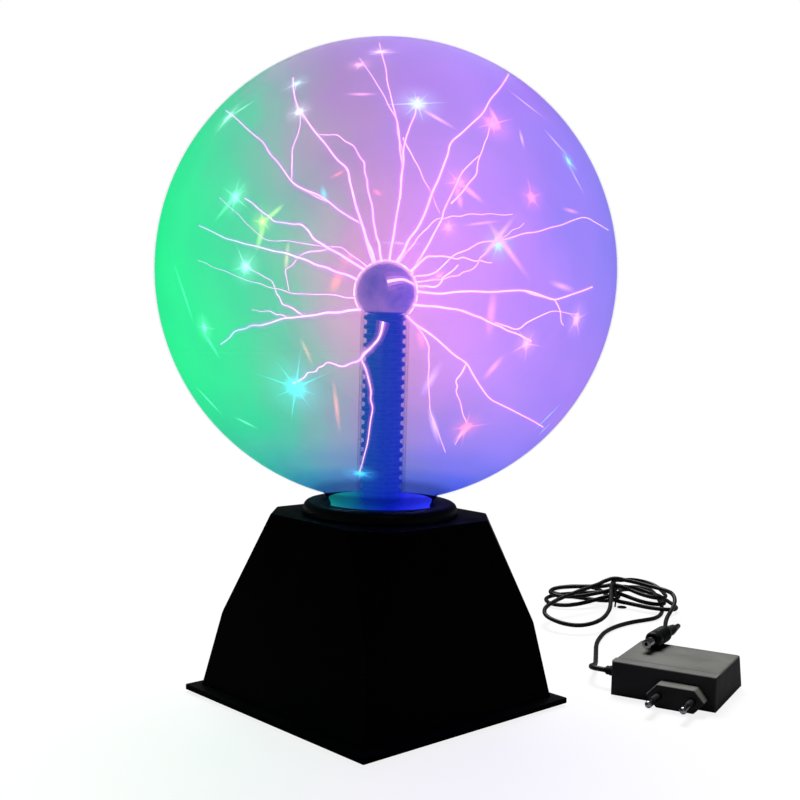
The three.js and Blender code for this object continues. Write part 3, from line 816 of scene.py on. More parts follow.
# ---------------------------------------------------------------- cord and plug
@dataclass
class Cord:
    """The adapter's thin lead: out of the case, into a tied hank of loops, and out again to its barrel plug.

    Places are in mm. The hank is drawn along and across from its tie.
    """

    diameter_mm: float = 3.0
    feed: tuple[Point, ...] = (
        (67.4, 120.05, 10), (63.6, 119.3, 9.9), (59.6, 119.9, 9.5), (55.9, 122.2, 8.8), (52.9, 125.8, 7.9),
        (50.2, 130.4, 6.8), (47, 136, 5.4), (43, 142.5, 3.9), (38.2, 149.5, 2.6), (32.3, 157.3, 1.7),
        (25, 167, 1.5),
        (17, 177.5, 1.5), (8, 190, 1.5), (0, 204, 1.5), (-7, 219, 1.5), (-11, 234, 1.5), (-12.5, 247, 1.5),
        (-12.2, 258, 1.5), (-11, 267, 1.5), (-9.4, 277.1, 1.5),
    )
    leave: tuple[Point, ...] = (
        (70.3, 185.2, 25.4), (67.8, 192.5, 24.8), (63.5, 200, 23), (57.5, 207.5, 19.5), (50.5, 215, 14.5),
        (43.5, 222.5, 9.5), (36.5, 230, 5.5), (29.5, 238, 2.8), (22.5, 247, 1.7), (16, 257, 1.5),
        (10.5, 268, 1.5), (6, 279, 2), (1.5, 288.5, 3), (-3.2, 295.2, 4), (-5.2, 297.1, 4.5),
    )
    tie_at: tuple[float, float] = (-58, 296)
    along: tuple[float, float] = (0.685, 0.728)
    across: tuple[float, float] = (-0.728, 0.685)
    first_loop: tuple[tuple[float, float], ...] = (
        (27, -38), (33, -20), (37, 6), (39, 34), (38, 60), (32, 76), (23, 72), (15, 50), (8, 22),
    )
    # Each further loop: heading from the tie in degrees, length, width, and the side of the tie it crosses.
    loops: tuple[tuple[float, float, float, float], ...] = (
        (122, 60, 40, 0.0), (14, 41, 84, -3.2), (188, 52, 27, 3.2), (10, 36, 66, 0.0),
        (181, 48, 25, -3.2), (2, 38, 54, 3.2), (240, 102, 42, 0.0),
    )
    to_leave: tuple[Point, ...] = ((-46, 301, 1.5), (-31, 306, 1.5), (-18, 306, 2.5))
    knots_per_loop: int = 13
    spacing_mm: float = 3.0
    ease_mm: float = 9.5
    fixed_points: int = 12
    hump_mm: float = 12.0
    hump_points: int = 6

    def hank_place(self, along: float, across: float) -> tuple[float, float]:
        """A place on the floor, given along and across the hank from its tie."""
        return (
            self.tie_at[0] + self.along[0] * along + self.across[0] * across,
            self.tie_at[1] + self.along[1] * along + self.across[1] * across,
        )

    def loop(self, heading: float, length: float, width: float, side: float) -> list[tuple[float, float]]:
        """One loop out from the tie and back, narrow at the tie and widest near its end.

        Args:
            heading: The way it points, in degrees from along the hank.
            length: How far it reaches.
            width: How wide it is.
            side: How far across the tie it starts.

        Returns:
            Places along and across the hank.
        """
        cosine, sine = math.cos(math.radians(heading)), math.sin(math.radians(heading))
        places = []
        for i in range(1, self.knots_per_loop + 1):
            u = math.tau * i / (self.knots_per_loop + 1)
            swell = (1 - math.cos(u)) / 2
            out, aside = length * swell, width / 2 * 1.54 * math.sin(u) * swell
            places.append((out * cosine - aside * sine, out * sine + aside * cosine + side * (1 - swell)))
        return places

    def flat_route(self) -> list[Vector]:
        """The whole route before it is laid down: strands of the hank still lie in one plane."""
        hank = [self.hank_place(*p) for p in self.first_loop]
        for index, (heading, length, width, side) in enumerate(self.loops):
            places = self.loop(heading, length, width, side)
            if index % 2:
                places.reverse()
            hank.append(self.hank_place(0.0, side))
            hank.extend(self.hank_place(*p) for p in places)
        middle = [Vector((x, y, self.diameter_mm / 2)) for x, y in hank]
        route = [Vector(p) for p in self.feed]
        route += middle
        route += [Vector(p) for p in (*self.to_leave, *reversed(self.leave))]
        return [p * MM for p in route]

    def fine_line(self, knots: Sequence[Vector]) -> np.ndarray:
        """Points at an even spacing on a smooth line through the knots, in metres."""
        line = [knots[0]]
        padded = [2 * knots[0] - knots[1], *knots, 2 * knots[-1] - knots[-2]]
        for a, b, c, d in zip(padded, padded[1:], padded[2:], padded[3:]):
            for step in range(1, 17):
                t = step / 16
                line.append(
                    0.5
                    * (
                        2 * b
                        + (c - a) * t
                        + (2 * a - 5 * b + 4 * c - d) * t**2
                        + (3 * b - a - 3 * c + d) * t**3
                    )
                )
        points = np.array(line)
        far = np.concatenate([[0.0], np.cumsum(np.linalg.norm(np.diff(points, axis=0), axis=1))])
        even = np.linspace(0.0, far[-1], round(far[-1] / (self.spacing_mm * MM)) + 1)
        return np.stack([np.interp(even, far, points[:, i]) for i in range(3)], axis=1)

    def eased(self, line: np.ndarray, rounds: int = 400) -> np.ndarray:
        """Opens every bend on the flat route that is tighter than the cord can take.

        Args:
            line: Even points on the flat route.
            rounds: How many times the tight places are eased.

        Returns:
            The eased points.
        """
        line = line.copy()
        for _ in range(rounds):
            steps = np.diff(line, axis=0)
            far = np.maximum(np.linalg.norm(steps, axis=1), 1e-6)
            turns = np.linalg.norm(np.diff(steps / far[:, None], axis=0), axis=1) * 2 / (far[1:] + far[:-1])
            tight = np.convolve(turns > 1 / (self.ease_mm * MM), np.ones(5), "same") > 0
            tight[: self.fixed_points] = False
            tight[-self.fixed_points :] = False
            middle = (line[:-2] + line[2:]) / 2
            line[1:-1] += np.where(tight, 0.3, 0.0)[:, None] * (middle - line[1:-1])
        return line

    def laid_down(self, line: np.ndarray, rounds: int = 90) -> np.ndarray:
        """Stacks the strands that cross, each over the earlier one, with a long low hump.

        Args:
            line: Even points on the flat route.
            rounds: How many times the strands are parted and eased.

        Returns:
            The same points, none nearer to another strand than a diameter.
        """
        thick = self.diameter_mm * MM * 1.03
        order = np.arange(len(line))
        apart = order[None, :] - order[:, None]
        flat = np.linalg.norm(line[:, None, :2] - line[None, :, :2], axis=2)
        earlier, later = np.nonzero((apart * self.spacing_mm * MM > 4 * thick) & (flat < thick))
        needed = np.sqrt(thick**2 - flat[earlier, later] ** 2)
        ends = round(0.03 / (self.spacing_mm * MM))
        base = line[:, 2]
        lift = np.zeros_like(base)
        for turn_number in range(rounds):
            np.maximum.at(lift, later, lift[earlier] + base[earlier] + needed - base[later])
            for k in range(1, self.hump_points):
                drop = (k * self.spacing_mm * MM) ** 2 / (2 * self.hump_mm * MM)
                lift[k:] = np.maximum(lift[k:], lift[:-k] - drop)
                lift[:-k] = np.maximum(lift[:-k], lift[k:] - drop)
            if turn_number < rounds / 2:
                filled = (lift[:-4] + lift[1:-3] + lift[2:-2] + lift[3:-1] + lift[4:]) / 5
                lift[2:-2] = np.maximum(lift[2:-2], filled)
            lift[:ends] = 0.0
            lift[-ends:] = 0.0
        laid_line = line.copy()
        laid_line[:, 2] += lift
        return laid_line

    def build(self) -> bpy.types.Object:
        """Makes the cord as one curve with round section."""
        line = self.laid_down(self.eased(self.fine_line(self.flat_route())))
        knots = [Vector(p) for p in line[::3]]
        if (Vector(line[-1]) - knots[-1]).length > MM:
            knots.append(Vector(line[-1]))
        cord = curve_of("cord", [knots], [[1.0] * len(knots)])
        cord.data.bevel_depth = self.diameter_mm / 2 * MM
        cord.data.bevel_resolution = 3
        cord.data.resolution_u = 5
        dress(cord, CORD_PVC)
        steps = np.diff(line, axis=0)
        far = np.linalg.norm(steps, axis=1)
        turns = np.linalg.norm(np.diff(steps / far[:, None], axis=0), axis=1) / far[1:]
        LOG.info("cord length %.3f m, tightest bend %.1f mm", far.sum(), 1 / MM / turns.max())
        return stands_for(cord, "adapter", "cord_pvc", "cord_adapter_end", "cord_hank", "cord_plug_end")


@dataclass
class BarrelPlug:
    """The cord's barrel plug on the adapter: plated sleeve, ribbed grip and tapered boot. Sizes in mm."""

    tip: Point = (82.9, 138.1, 25.5)
    heading_deg: float = 105.0
    barrel: Outline = ((1.1, 0.0), (2.5, 0.0), (2.75, 0.3), (2.75, 9.7), (1.1, 9.7), (1.1, 0.0))
    grip_from: float = 10.0
    grip_to: float = 34.0
    boot_to: float = 48.0

    def place(self) -> Matrix:
        """Turns a piece made along Z into the plug's own direction, tip first."""
        return shift(*self.tip) @ turn(self.heading_deg - 90.0, "Z") @ turn(-90.0, "X")

    def grip(self) -> bpy.types.Object:
        """The moulded grip, with a collar, a waist and shallow rings to hold it by."""
        outline = [(0.0, self.grip_from), (3.6, self.grip_from), (4.2, 10.5), (5.0, 12.0), (5.0, 16.0)]
        for i in range(5):
            z = 17.0 + 2.4 * i
            outline += [(4.55, z), (4.55, z + 0.8), (5.0, z + 1.2), (5.0, z + 1.9)]
        outline += [(4.9, 30.5), (4.3, 32.4), (3.8, self.grip_to), (0.0, self.grip_to)]
        return turned("plug_grip_moulded", outline, 48)

    def boot(self) -> bpy.types.Object:
        """The strain relief behind the grip: rings with notches between them, tapering to the cord."""
        return tapered_boot("plug_boot_ribbed", self.grip_to + 0.3, self.boot_to, 3.4, 2.2, 6)

    def build(self) -> list[bpy.types.Object]:
        """Makes the plug's three pieces."""
        barrel = smooth(laid(turned("plug_barrel_plated", self.barrel, 48), self.place()))
        grip = smooth(laid(self.grip(), self.place()), 50.0)
        boot = smooth(laid(self.boot(), self.place()), 50.0)
        stands_for(dress(barrel, PLATED), "adapter", "chrome", "plug_barrel")
        stands_for(dress(grip, COLLAR_ABS), "adapter", "black_abs", "plug_grip")
        stands_for(dress(boot, SOFT_RUBBER), "adapter", "rubber", "plug_boot")
        return [barrel, grip, boot]


def tapered_boot(
    name: str, start: float, end: float, wide: float, narrow: float, rings: int
) -> bpy.types.Object:
    """A ribbed strain relief made along Z, in mm, from its wide end to its narrow one."""
    outline = [(0.0, start)]
    pitch = (end - start) / rings
    for i in range(rings):
        z = start + pitch * i
        radius = wide + (narrow - wide) * i / rings
        outline += [(radius, z), (radius, z + pitch * 0.6)]
        outline += [(radius - 0.6, z + pitch * 0.66), (radius - 0.6, z + pitch)]
    return turned(name, [*outline, (0.0, end)], 32)


@dataclass
class HankTie:
    """A plastic-coated wire tie round the waist of the hank, its two ends twisted together. Sizes in mm."""

    at: tuple[float, float] = (-58.0, 296.0)
    turn_deg: float = 46.74
    wire_mm: float = 1.3
    half_width: float = 11.0
    top: float = 13.6

    def build(self) -> bpy.types.Object:
        """Bends the wire over the strands, twists its ends and leaves a small eye beside the hank."""
        over = [
            (-0.6, -self.half_width, 0.9), (-0.4, -self.half_width - 0.6, 5.0), (0.0, -8.6, 11.0),
            (0.2, -3.0, self.top), (0.2, 3.0, self.top), (0.0, 8.6, 11.2), (0.3, self.half_width + 0.6, 5.0),
            (0.6, self.half_width, 0.9),
        ]
        ends = []
        for phase in (0.0, math.pi):
            ends.append(
                [
                    (
                        0.9 * math.cos(phase + 1.35 * i), 0.9 * math.sin(phase + 1.35 * i),
                        self.top + 0.2 + 0.78 * i,
                    )
                    for i in range(8)
                ]
            )
        eye = [(3.0 * math.cos(a) + 4.6, -self.half_width - 0.5 + 2.2 * math.sin(a), 0.95) for a in
               [math.pi * (0.15 + 0.22 * i) for i in range(9)]]
        place = shift(*self.at, 0.0) @ turn(self.turn_deg, "Z")
        courses = [[place @ (Vector(p) * MM) for p in course] for course in (over, *ends, eye)]
        tie = curve_of("hank_tie_wire", courses, [[1.0] * len(c) for c in courses])
        tie.data.bevel_depth = self.wire_mm / 2 * MM
        tie.data.bevel_resolution = 2
        tie.data.resolution_u = 6
        select_only(tie)
        bpy.ops.object.convert(target="MESH")
        tie = named("hank_tie_wire")
        bpy.ops.object.shade_smooth()
        return stands_for(dress(tie, SOFT_RUBBER), "adapter", "rubber", "hank_tie")


# ---------------------------------------------------------------- wall adapter
@dataclass
class Adapter:
    """The wall adapter: a two-part case, a six-sided plug boss and two round pins. Sizes in mm."""

    at: Point = (108.0, 119.0, 0.0)
    turn_deg: float = 18.0
    half_length: float = 30.0
    top_depth: float = 55.0
    floor_depth: float = 63.0
    height: float = 20.0
    wall: float = 2.0
    front_depth: float = 8.0
    boss_x: float = 10.0
    pin_spacing: float = 19.0
    pin_z: float = 7.0
    seam: float = 0.3

    def place(self) -> Matrix:
        """From the adapter's own space to the object's."""
        return shift(*self.at) @ turn(self.turn_deg, "Z")

    def case(self, name: str, inset: float, start: float, end: float) -> bpy.types.Object:
        """A slice of the case's outer or inner form, from one depth to another.

        Args:
            name: The piece's name.
            inset: How far inside the outer form it lies.
            start: Where the slice starts, from the front.
            end: Where it ends.

        Returns:
            The slice, with a sloping back where it reaches that far.
        """
        half = self.half_length - inset
        low, high = inset, self.height - inset
        back_low, back_high = self.floor_depth - inset * 1.4, self.top_depth - inset * 1.2
        made = block(name, (-half, max(start, inset), low), (half, min(end, back_low), high))
        if end > back_high:
            with editing(made):
                pick(made, Element.EDGE, lambda c, _: c.z > high - 0.1 and c.y > back_high and abs(c.x) < 0.1)
                bpy.ops.transform.translate(value=(0.0, (back_high - back_low) * MM, 0.0))
        return made

    def boss(self) -> bpy.types.Object:
        """The plug boss: flat above and below, pointed at its sides."""
        low, high = 0.4, 2 * self.pin_z - 0.4
        outline = [
            (-10.5, low), (10.5, low), (16.5, self.pin_z), (10.5, high), (-10.5, high), (-16.5, self.pin_z)
        ]
        boss = prism("boss", outline, 11.0)
        laid(boss, shift(self.boss_x, 1.2, 0.0) @ turn(90.0, "X"))
        with editing(boss):
            pick(boss, Element.EDGE, lambda c, d: c.y < -9.0 or abs(d.y) > 0.9)
            bpy.ops.mesh.bevel(offset=0.7 * MM, segments=3, affect="EDGES")
        return boss

    def pins_at(self) -> tuple[float, float]:
        """Where the two pins stand along the case."""
        return self.boss_x - self.pin_spacing / 2, self.boss_x + self.pin_spacing / 2

    def forward(self, x: float) -> Matrix:
        """Points a piece made along Z out of the front face at one pin."""
        return self.place() @ shift(x, 0.0, self.pin_z) @ turn(90.0, "X")

    def build_case(self) -> None:
        """The two halves of the case, rounded outside and hollow."""
        front = self.case("adapter_front_case", 0.0, 0.0, self.front_depth)
        rear = self.case("adapter_rear_case", 0.0, self.front_depth + self.seam, 99.0)
        for half in (front, rear):
            with editing(half):
                pick(
                    half, Element.EDGE,
                    lambda c, d: (c.y < 0.1 or c.y > self.front_depth + 1.0)
                    and not (c.z < 0.1 and abs(d.z) < 0.1 and 1.0 < c.y < 50.0),
                )
                bpy.ops.mesh.bevel(offset=1.3 * MM, segments=4, affect="EDGES")
        boolean(front, "UNION", self.boss())
        inner_front = self.case("hollow", self.wall, 0.0, 99.0)
        inner_rear = self.case("hollow", self.wall, 0.0, 99.0)
        holes = []
        for x in self.pins_at():
            hole = turned("hole", [(0.0, -9.0), (2.3, -9.0), (2.3, 12.0), (0.0, 12.0)], 32)
            holes.append(laid(hole, shift(x, 0.0, self.pin_z) @ turn(90.0, "X")))
        boolean(front, "DIFFERENCE", inner_front, *holes)
        outlet = turned("outlet", [(0.0, -4.0), (2.6, -4.0), (2.6, 4.0), (0.0, 4.0)], 32)
        laid(outlet, shift(-self.half_length, 14.0, 10.0) @ turn(90.0, "Y"))
        boolean(rear, "DIFFERENCE", inner_rear, outlet)
        for half, node_name in ((front, "adapter_front"), (rear, "adapter_rear")):
            laid(half, self.place())
            smooth(half)
            stands_for(dress(half, ADAPTER_PC), "adapter", "adapter_abs", node_name)

    def build_pins(self) -> None:
        """Two round pins with a bare tip and an insulating sleeve."""
        outline = [(0.0, -8.0), (1.5, -8.0), (1.5, 19.6), (2.0, 19.8), *arc(2.0, 0.0, 90.0, 6, (0.0, 26.8))]
        pin = turned("plug_pin_plated", outline, 40)
        sleeve = turned(
            "pin_sleeve_moulded",
            [(1.8, 9.9), (1.98, 9.9), (1.98, 19.2), (1.9, 19.4), (1.8, 19.4), (1.8, 9.9)], 40,
        )
        for x, side in zip(self.pins_at(), ("left", "right"), strict=True):
            bare = smooth(copied(pin, f"plug_pin_plated_{side}", self.forward(x)), 40.0)
            stands_for(dress(bare, PLATED), "adapter", "chrome", f"plug_pin_{side}")
            cover = smooth(copied(sleeve, f"pin_sleeve_moulded_{side}", self.forward(x)), 40.0)
            stands_for(dress(cover, PHENOLIC), "adapter", "phenolic", f"pin_sleeve_{side}")
        bpy.data.objects.remove(pin)
        bpy.data.objects.remove(sleeve)

    def build_relief(self) -> None:
        """The ribbed strain relief where the cord leaves the case."""
        stem = turned("stem", [(0.0, -3.0), (2.3, -3.0), (2.3, 0.6), (0.0, 0.6)], 32)
        relief = boolean(tapered_boot("strain_relief_ribbed", 0.3, 8.0, 3.5, 2.3, 4), "UNION", stem)
        laid(relief, self.place() @ shift(-self.half_length, 14.0, 10.0) @ turn(-90.0, "Y"))
        stands_for(dress(smooth(relief, 50.0), SOFT_RUBBER), "adapter", "rubber", "strain_relief")

    def build(self) -> None:
        """Makes all of the adapter."""
        self.build_case()
        self.build_pins()
        self.build_relief()


# ---------------------------------------------------------------- stand
@dataclass
class Stand:
    """The four-sided stand with cut corners, its foot flange, collar, feet and screws. Sizes in mm."""

    flange_half: float = 75.5
    flange_low: float = 1.0
    flange_high: float = 4.2
    body_half: float = 69.0
    top_half: float = 51.0
    top: float = 104.0
    corner_cut: float = 18.6
    cut_end: float = 45.0
    wall: float = 2.6
    roof: float = 3.0
    collar_bore: float = 30.6
    collar_outer: float = 43.0
    foot_at: float = 44.0
    screw_at: float = 55.0

    def half_at(self, z: float) -> float:
        """Half the body's width at a height."""
        share = (z - self.flange_high) / (self.top - self.flange_high)
        return self.body_half + (self.top_half - self.body_half) * share

    def cut_corners(self, obj: bpy.types.Object, inset: float, above: float) -> None:
        """Slices the four upper corners off with sloping planes, in edit mode.

        Args:
            obj: The body or its hollow.
            inset: How far inside the outer surface the planes lie.
            above: Faces under this height are left alone.
        """
        half = self.top_half
        for sx, sy in ((1, 1), (-1, 1), (-1, -1), (1, -1)):
            first = Vector((sx * half, sy * (half - self.corner_cut), self.top))
            second = Vector((sx * (half - self.corner_cut), sy * half, self.top))
            foot = self.half_at(self.cut_end)
            normal = (second - first).cross(Vector((sx * foot, sy * foot, self.cut_end)) - first).normalized()
            if normal.dot(Vector((sx, sy, 0.0))) < 0:
                normal.negate()
            plane = first - normal * inset
            pick(obj, Element.FACE, lambda c, _: c.z > above)
            bpy.ops.mesh.bisect(plane_co=plane * MM, plane_no=normal, use_fill=True, clear_outer=True)

    def body(self) -> bpy.types.Object:
        """The outer form: flange, tapering body and corner cuts, with small rounded edges."""
        half = self.flange_half
        body = block("stand_shell", (-half, -half, self.flange_low), (half, half, self.flange_high))
        with editing(body):
            pick(body, Element.FACE, lambda _, n: n.z > 0.9)
            bpy.ops.mesh.inset(thickness=(half - self.body_half) * MM, depth=0.0)
            bpy.ops.mesh.extrude_region_move(
                TRANSFORM_OT_translate={"value": (0.0, 0.0, (self.top - self.flange_high) * MM)}
            )
            shrink = self.top_half / self.body_half
            bpy.ops.transform.resize(value=(shrink, shrink, 1.0), center_override=(0.0, 0.0, 0.0))
            self.cut_corners(body, 0.0, self.flange_high + 1.0)
        tidied(body)
        return rounded(body, 0.55, 3, 12.0)

    def hollow(self) -> bpy.types.Object:
        """The space inside the body, open below."""
        low = self.body_half - self.wall + 0.7
        hollow = block("hollow", (-low, -low, 0.0), (low, low, self.top - self.roof))
        with editing(hollow):
            pick(hollow, Element.FACE, lambda _, n: n.z > 0.9)
            shrink = (self.half_at(self.top - self.roof) - self.wall) / low
            bpy.ops.transform.resize(value=(shrink, shrink, 1.0), center_override=(0.0, 0.0, 0.0))
            self.cut_corners(hollow, self.wall, 1.0)
        return tidied(hollow)

    def screw_posts(self) -> list[bpy.types.Object]:
        """Posts inside the corners that the cover's screws go into, cut off by the sloping walls."""
        posts = []
        for i, (sx, sy) in enumerate(((1, 1), (-1, 1), (-1, -1), (1, -1))):
            post = turned(f"post_{i}", [(1.6, 4.3), (4.5, 4.3), (4.5, 46.0), (1.6, 46.0), (1.6, 4.3)], 24)
            posts.append(laid(post, shift(sx * self.screw_at, sy * self.screw_at, 0.0)))
        return posts

    def build_shell(self, cutters: Sequence[bpy.types.Object]) -> None:
        """The hollow shell, with the neck's hole and the rear wall's openings.

        Args:
            cutters: Solids that cut the openings.
        """
        shell = self.body()
        bore = turned("bore", [(0.0, 90.0), (33.6, 90.0), (33.6, 120.0), (0.0, 120.0)], 96)
        boolean(shell, "DIFFERENCE", self.hollow(), bore, *cutters)
        boolean(shell, "UNION", *self.screw_posts())
        smooth(tidied(shell), 20.0)
        stands_for(dress(shell, STAND_ABS), "stand", "black_abs", "base_shell")

    def build_collar(self) -> None:
        """The round collar: a domed shoulder, a fine step and a chamfered bore."""
        low, high = self.top + 0.3, self.top + 7.0
        outline = [
            (self.collar_bore, low), (self.collar_outer - 0.3, low), (self.collar_outer, low + 0.3),
            (self.collar_outer, low + 2.2), (self.collar_outer - 0.5, low + 2.5),
            *arc(3.4, 0.0, 90.0, 8, (self.collar_outer - 4.0, high - 3.4)),
            (self.collar_bore + 3.4, high), (self.collar_bore + 2.2, high - 0.4),
            (self.collar_bore, high - 1.6), (self.collar_bore, low),
        ]
        collar = smooth(turned("collar", outline, 128))
        stands_for(dress(collar, COLLAR_ABS), "stand", "black_abs", "collar_ring")

    def build_feet(self) -> None:
        """Four stuck-on rubber feet with a dished sole."""
        outline = [
            (0.0, 0.25), (5.6, 0.2), (6.2, 0.0), (7.6, 0.0), (8.0, 0.3), (7.7, 1.1), (7.5, 1.2), (0.0, 1.2),
        ]
        foot = turned("foot", outline, 48)
        for i, (sx, sy) in enumerate(((1, 1), (-1, 1), (-1, -1), (1, -1)), start=1):
            pad = copied(foot, f"foot_pad_{i}", shift(sx * self.foot_at, sy * self.foot_at, 0.0))
            stands_for(dress(smooth(pad), SOFT_RUBBER), "stand", "rubber", f"rubber_foot_{i}")
        bpy.data.objects.remove(foot)

    def build_screws(self) -> None:
        """Four pan-head screws with a crossed recess, in the cover."""
        outline = [
            (0.0, 0.0), (1.9, 0.0), (2.5, 0.3), (2.8, 0.8), (2.8, 1.1), (1.3, 1.1), (1.3, 10.8), (0.0, 12.0)
        ]
        screw = turned("screw", outline, 32)
        slots = [
            block("slot_x", (-1.5, -0.3, -1.0), (1.5, 0.3, 0.7)),
            block("slot_y", (-0.3, -1.5, -1.0), (0.3, 1.5, 0.7)),
        ]
        boolean(screw, "DIFFERENCE", *slots)
        for i, (sx, sy) in enumerate(((1, 1), (-1, 1), (-1, -1), (1, -1)), start=1):
            place = shift(sx * self.screw_at, sy * self.screw_at, 1.5)
            made = smooth(copied(screw, f"pan_head_screw_{i}", place))
            stands_for(dress(made, ZINC_STEEL), "stand", "steel", f"cover_screw_{i}")
        bpy.data.objects.remove(screw)

    def build(self, cutters: Sequence[bpy.types.Object]) -> None:
        """Makes all of the stand. The cutters make the openings of the rear wall."""
        self.build_shell(cutters)
        self.build_collar()
        self.build_feet()
        self.build_screws()


@dataclass
class RearPanel:
    """The power socket and the rocker switch in the stand's sloping rear wall. Sizes in mm."""

    stand: Stand
    jack_x: float = 22.0
    jack_z: float = 32.0
    switch_x: float = -22.0
    switch_z: float = 36.0
    tilt_deg: float = 10.0

    def place(self, x: float, z: float) -> Matrix:
        """Puts a piece made along Z onto the rear wall, pointing out."""
        run = self.stand.body_half - self.stand.top_half
        slope = math.degrees(math.atan(run / (self.stand.top - self.stand.flange_high)))
        return shift(x, self.stand.half_at(z), z) @ turn(slope - 90.0, "X")

    def cutters(self) -> list[bpy.types.Object]:
        """Solids that cut the socket's round hole and the switch's oblong one."""
        round_hole = turned("round_hole", [(0.0, -8.0), (5.8, -8.0), (5.8, 4.0), (0.0, 4.0)], 64)
        oblong = block("oblong_hole", (-6.8, -10.0, -8.0), (6.8, 10.0, 4.0))
        return [
            laid(round_hole, self.place(self.jack_x, self.jack_z)),
            laid(oblong, self.place(self.switch_x, self.switch_z)),
        ]

    def build_jack(self) -> None:
        """The socket: a flanged body with a bore and its centre pin."""
        outline = [
            (0.0, -1.4), (0.6, -1.5), (1.0, -2.2), (1.0, -10.0), (3.1, -10.0), (3.1, -0.6), (3.6, 1.3),
            (3.9, 1.6),
            (6.6, 1.6), (7.2, 1.3), (7.4, 0.9), (7.4, 0.3), (5.4, 0.3), (5.4, -15.0), (0.0, -15.0),
        ]
        jack = laid(turned("power_socket", outline, 64), self.place(self.jack_x, self.jack_z))
        stands_for(dress(smooth(jack), PHENOLIC), "stand", "phenolic", "dc_jack")

    def build_switch(self) -> None:
        """The switch's bezel and its rocker, which has two sloping faces and a raised mark on one."""
        flange = rounded(block("rocker_bezel", (-7.8, -11.0, 0.3), (7.8, 11.0, 2.2)), 0.6)
        can = block("can", (-6.5, -9.6, -14.0), (6.5, 9.6, 1.0))
        opening = block("opening", (-5.4, -8.2, -9.0), (5.4, 8.2, 4.0))
        boolean(boolean(flange, "UNION", can), "DIFFERENCE", opening)
        laid(flange, self.place(self.switch_x, self.switch_z))
        stands_for(dress(smooth(flange), COLLAR_ABS), "stand", "black_abs", "rocker_housing")
        side = [(-7.0, 4.0), (-6.4, 0.5), (-2.5, -2.2), (2.5, -2.2), (6.4, 0.5), (7.0, 4.0), (0.0, 2.4)]
        button = prism("rocker_cap", side, 10.0)
        laid(button, turn(90.0, "X") @ turn(90.0, "Y") @ shift(0.0, 0.0, -5.0))
        rounded(button, 0.35, 3, 15.0)
        bar = rounded(block("bar", (-0.4, 3.2, 2.4), (0.4, 5.8, 3.75)), 0.12, 2)
        boolean(button, "UNION", bar)
        laid(button, self.place(self.switch_x, self.switch_z) @ turn(-self.tilt_deg, "X"))
        stands_for(dress(smooth(button, 20.0), STAND_ABS), "rocker", "black_abs", "rocker_button")

    def build(self) -> None:
        """Makes the socket and the switch."""
        self.build_jack()
        self.build_switch()


# ---------------------------------------------------------------- globe, stem and electrode
@dataclass(frozen=True)
class LitFromWithin:
    """A surface that the discharge lights up: its glow shades from one colour to another across the globe."""

    name: str
    left: str
    middle: str
    right: str
    speck: str
    strength: float
    speck_mm: float
    roughness: float
    half_width_mm: float = 14.0
    stretch: Point = (1.0, 1.0, 1.0)
    depth_mm: float = 0.1

    def material(self) -> bpy.types.Material:
        """Builds the material."""
        made, tree, output = fresh_material(self.name)
        place = node(tree, "TexCoord").outputs["Object"]
        _, along = towards_violet(tree, place, self.half_width_mm)
        sides = node(
            tree, "ValToRGB",
            {"stops": [(0.05, rgba(self.left)), (0.5, rgba(self.middle)), (0.95, rgba(self.right))]},
            {"Fac": along},
        ).outputs["Color"]
        drawn = node(
            tree, "Mapping", {"Scale": tuple(1 / s for s in self.stretch)},
            {"Vector": place},
        )
        specks = node(
            tree, "TexNoise", {"Scale": 1 / (self.speck_mm * MM), "Detail": 4.0, "Roughness": 0.7},
            {"Vector": drawn.outputs["Vector"]},
        )
        amount = node(
            tree, "MapRange", {"From Min": 0.42, "From Max": 0.68, "To Min": 0.0, "To Max": 0.75},
            {"Value": specks.outputs["Fac"]},
        ).outputs["Result"]
        colour = node(tree, "Mix", {"data_type": "RGBA", 7: rgba(self.speck)}, {0: amount, 6: sides})
        bump = node(
            tree, "Bump", {"Strength": 0.7, "Distance": self.depth_mm * MM}, {"Height": specks.outputs["Fac"]}
        )
        shader = node(
            tree, "BsdfPrincipled",
            {
                "Base Color": (0.01, 0.01, 0.014, 1), "Roughness": self.roughness,
                "Emission Strength": self.strength,
            },
            {"Emission Color": colour.outputs[2], "Normal": bump.outputs["Normal"]},
        )
        tree.links.new(shader.outputs["BSDF"], output.inputs["Surface"])
        made.cycles.emission_sampling = "NONE"
        return made


# Blown borosilicate glass of the globe: thin, clear and bright at its rim.
GLOBE_GLASS = Glass("blown_clear_glass", "FFFFFF", "FBFCFE", mirror=0.05, roughness=0.3)
# Drawn glass of the stem and bulb: a little bluer and thicker.
STEM_GLASS = Glass("drawn_stem_glass", "FAFBFF", "F2F5FF", mirror=0.5, wave_mm=9.0)
# Steel wool in the bulb: fine crossing wires that read as bright grains on a slate ball. The slate blue and
# the bright grains are painted light, a glow standing in for the discharge's light on the wool, over a
# near-black base.
STEEL_WOOL = LitFromWithin(
    "packed_steel_wool", "1C64B4", "2850CC", "4048F0", "5C78DC", 0.85, 1.0, 0.6, half_width_mm=16.0,
    depth_mm=0.5,
)
# Ribbed polyethylene sleeve: deep blue, teal where the green gas lights it, with drawn streaks along it. All
# of this colour is painted light, a glow standing in for the discharge's light on the sleeve, over a
# near-black base.
RIBBED_SLEEVE = LitFromWithin(
    "moulded_ribbed_sleeve", "2878B8", "2058CC", "2C48DC", "3C68DC", 0.85, 1.6, 0.35, half_width_mm=12.0,
    stretch=(1.0, 1.0, 26.0), depth_mm=0.05,
)


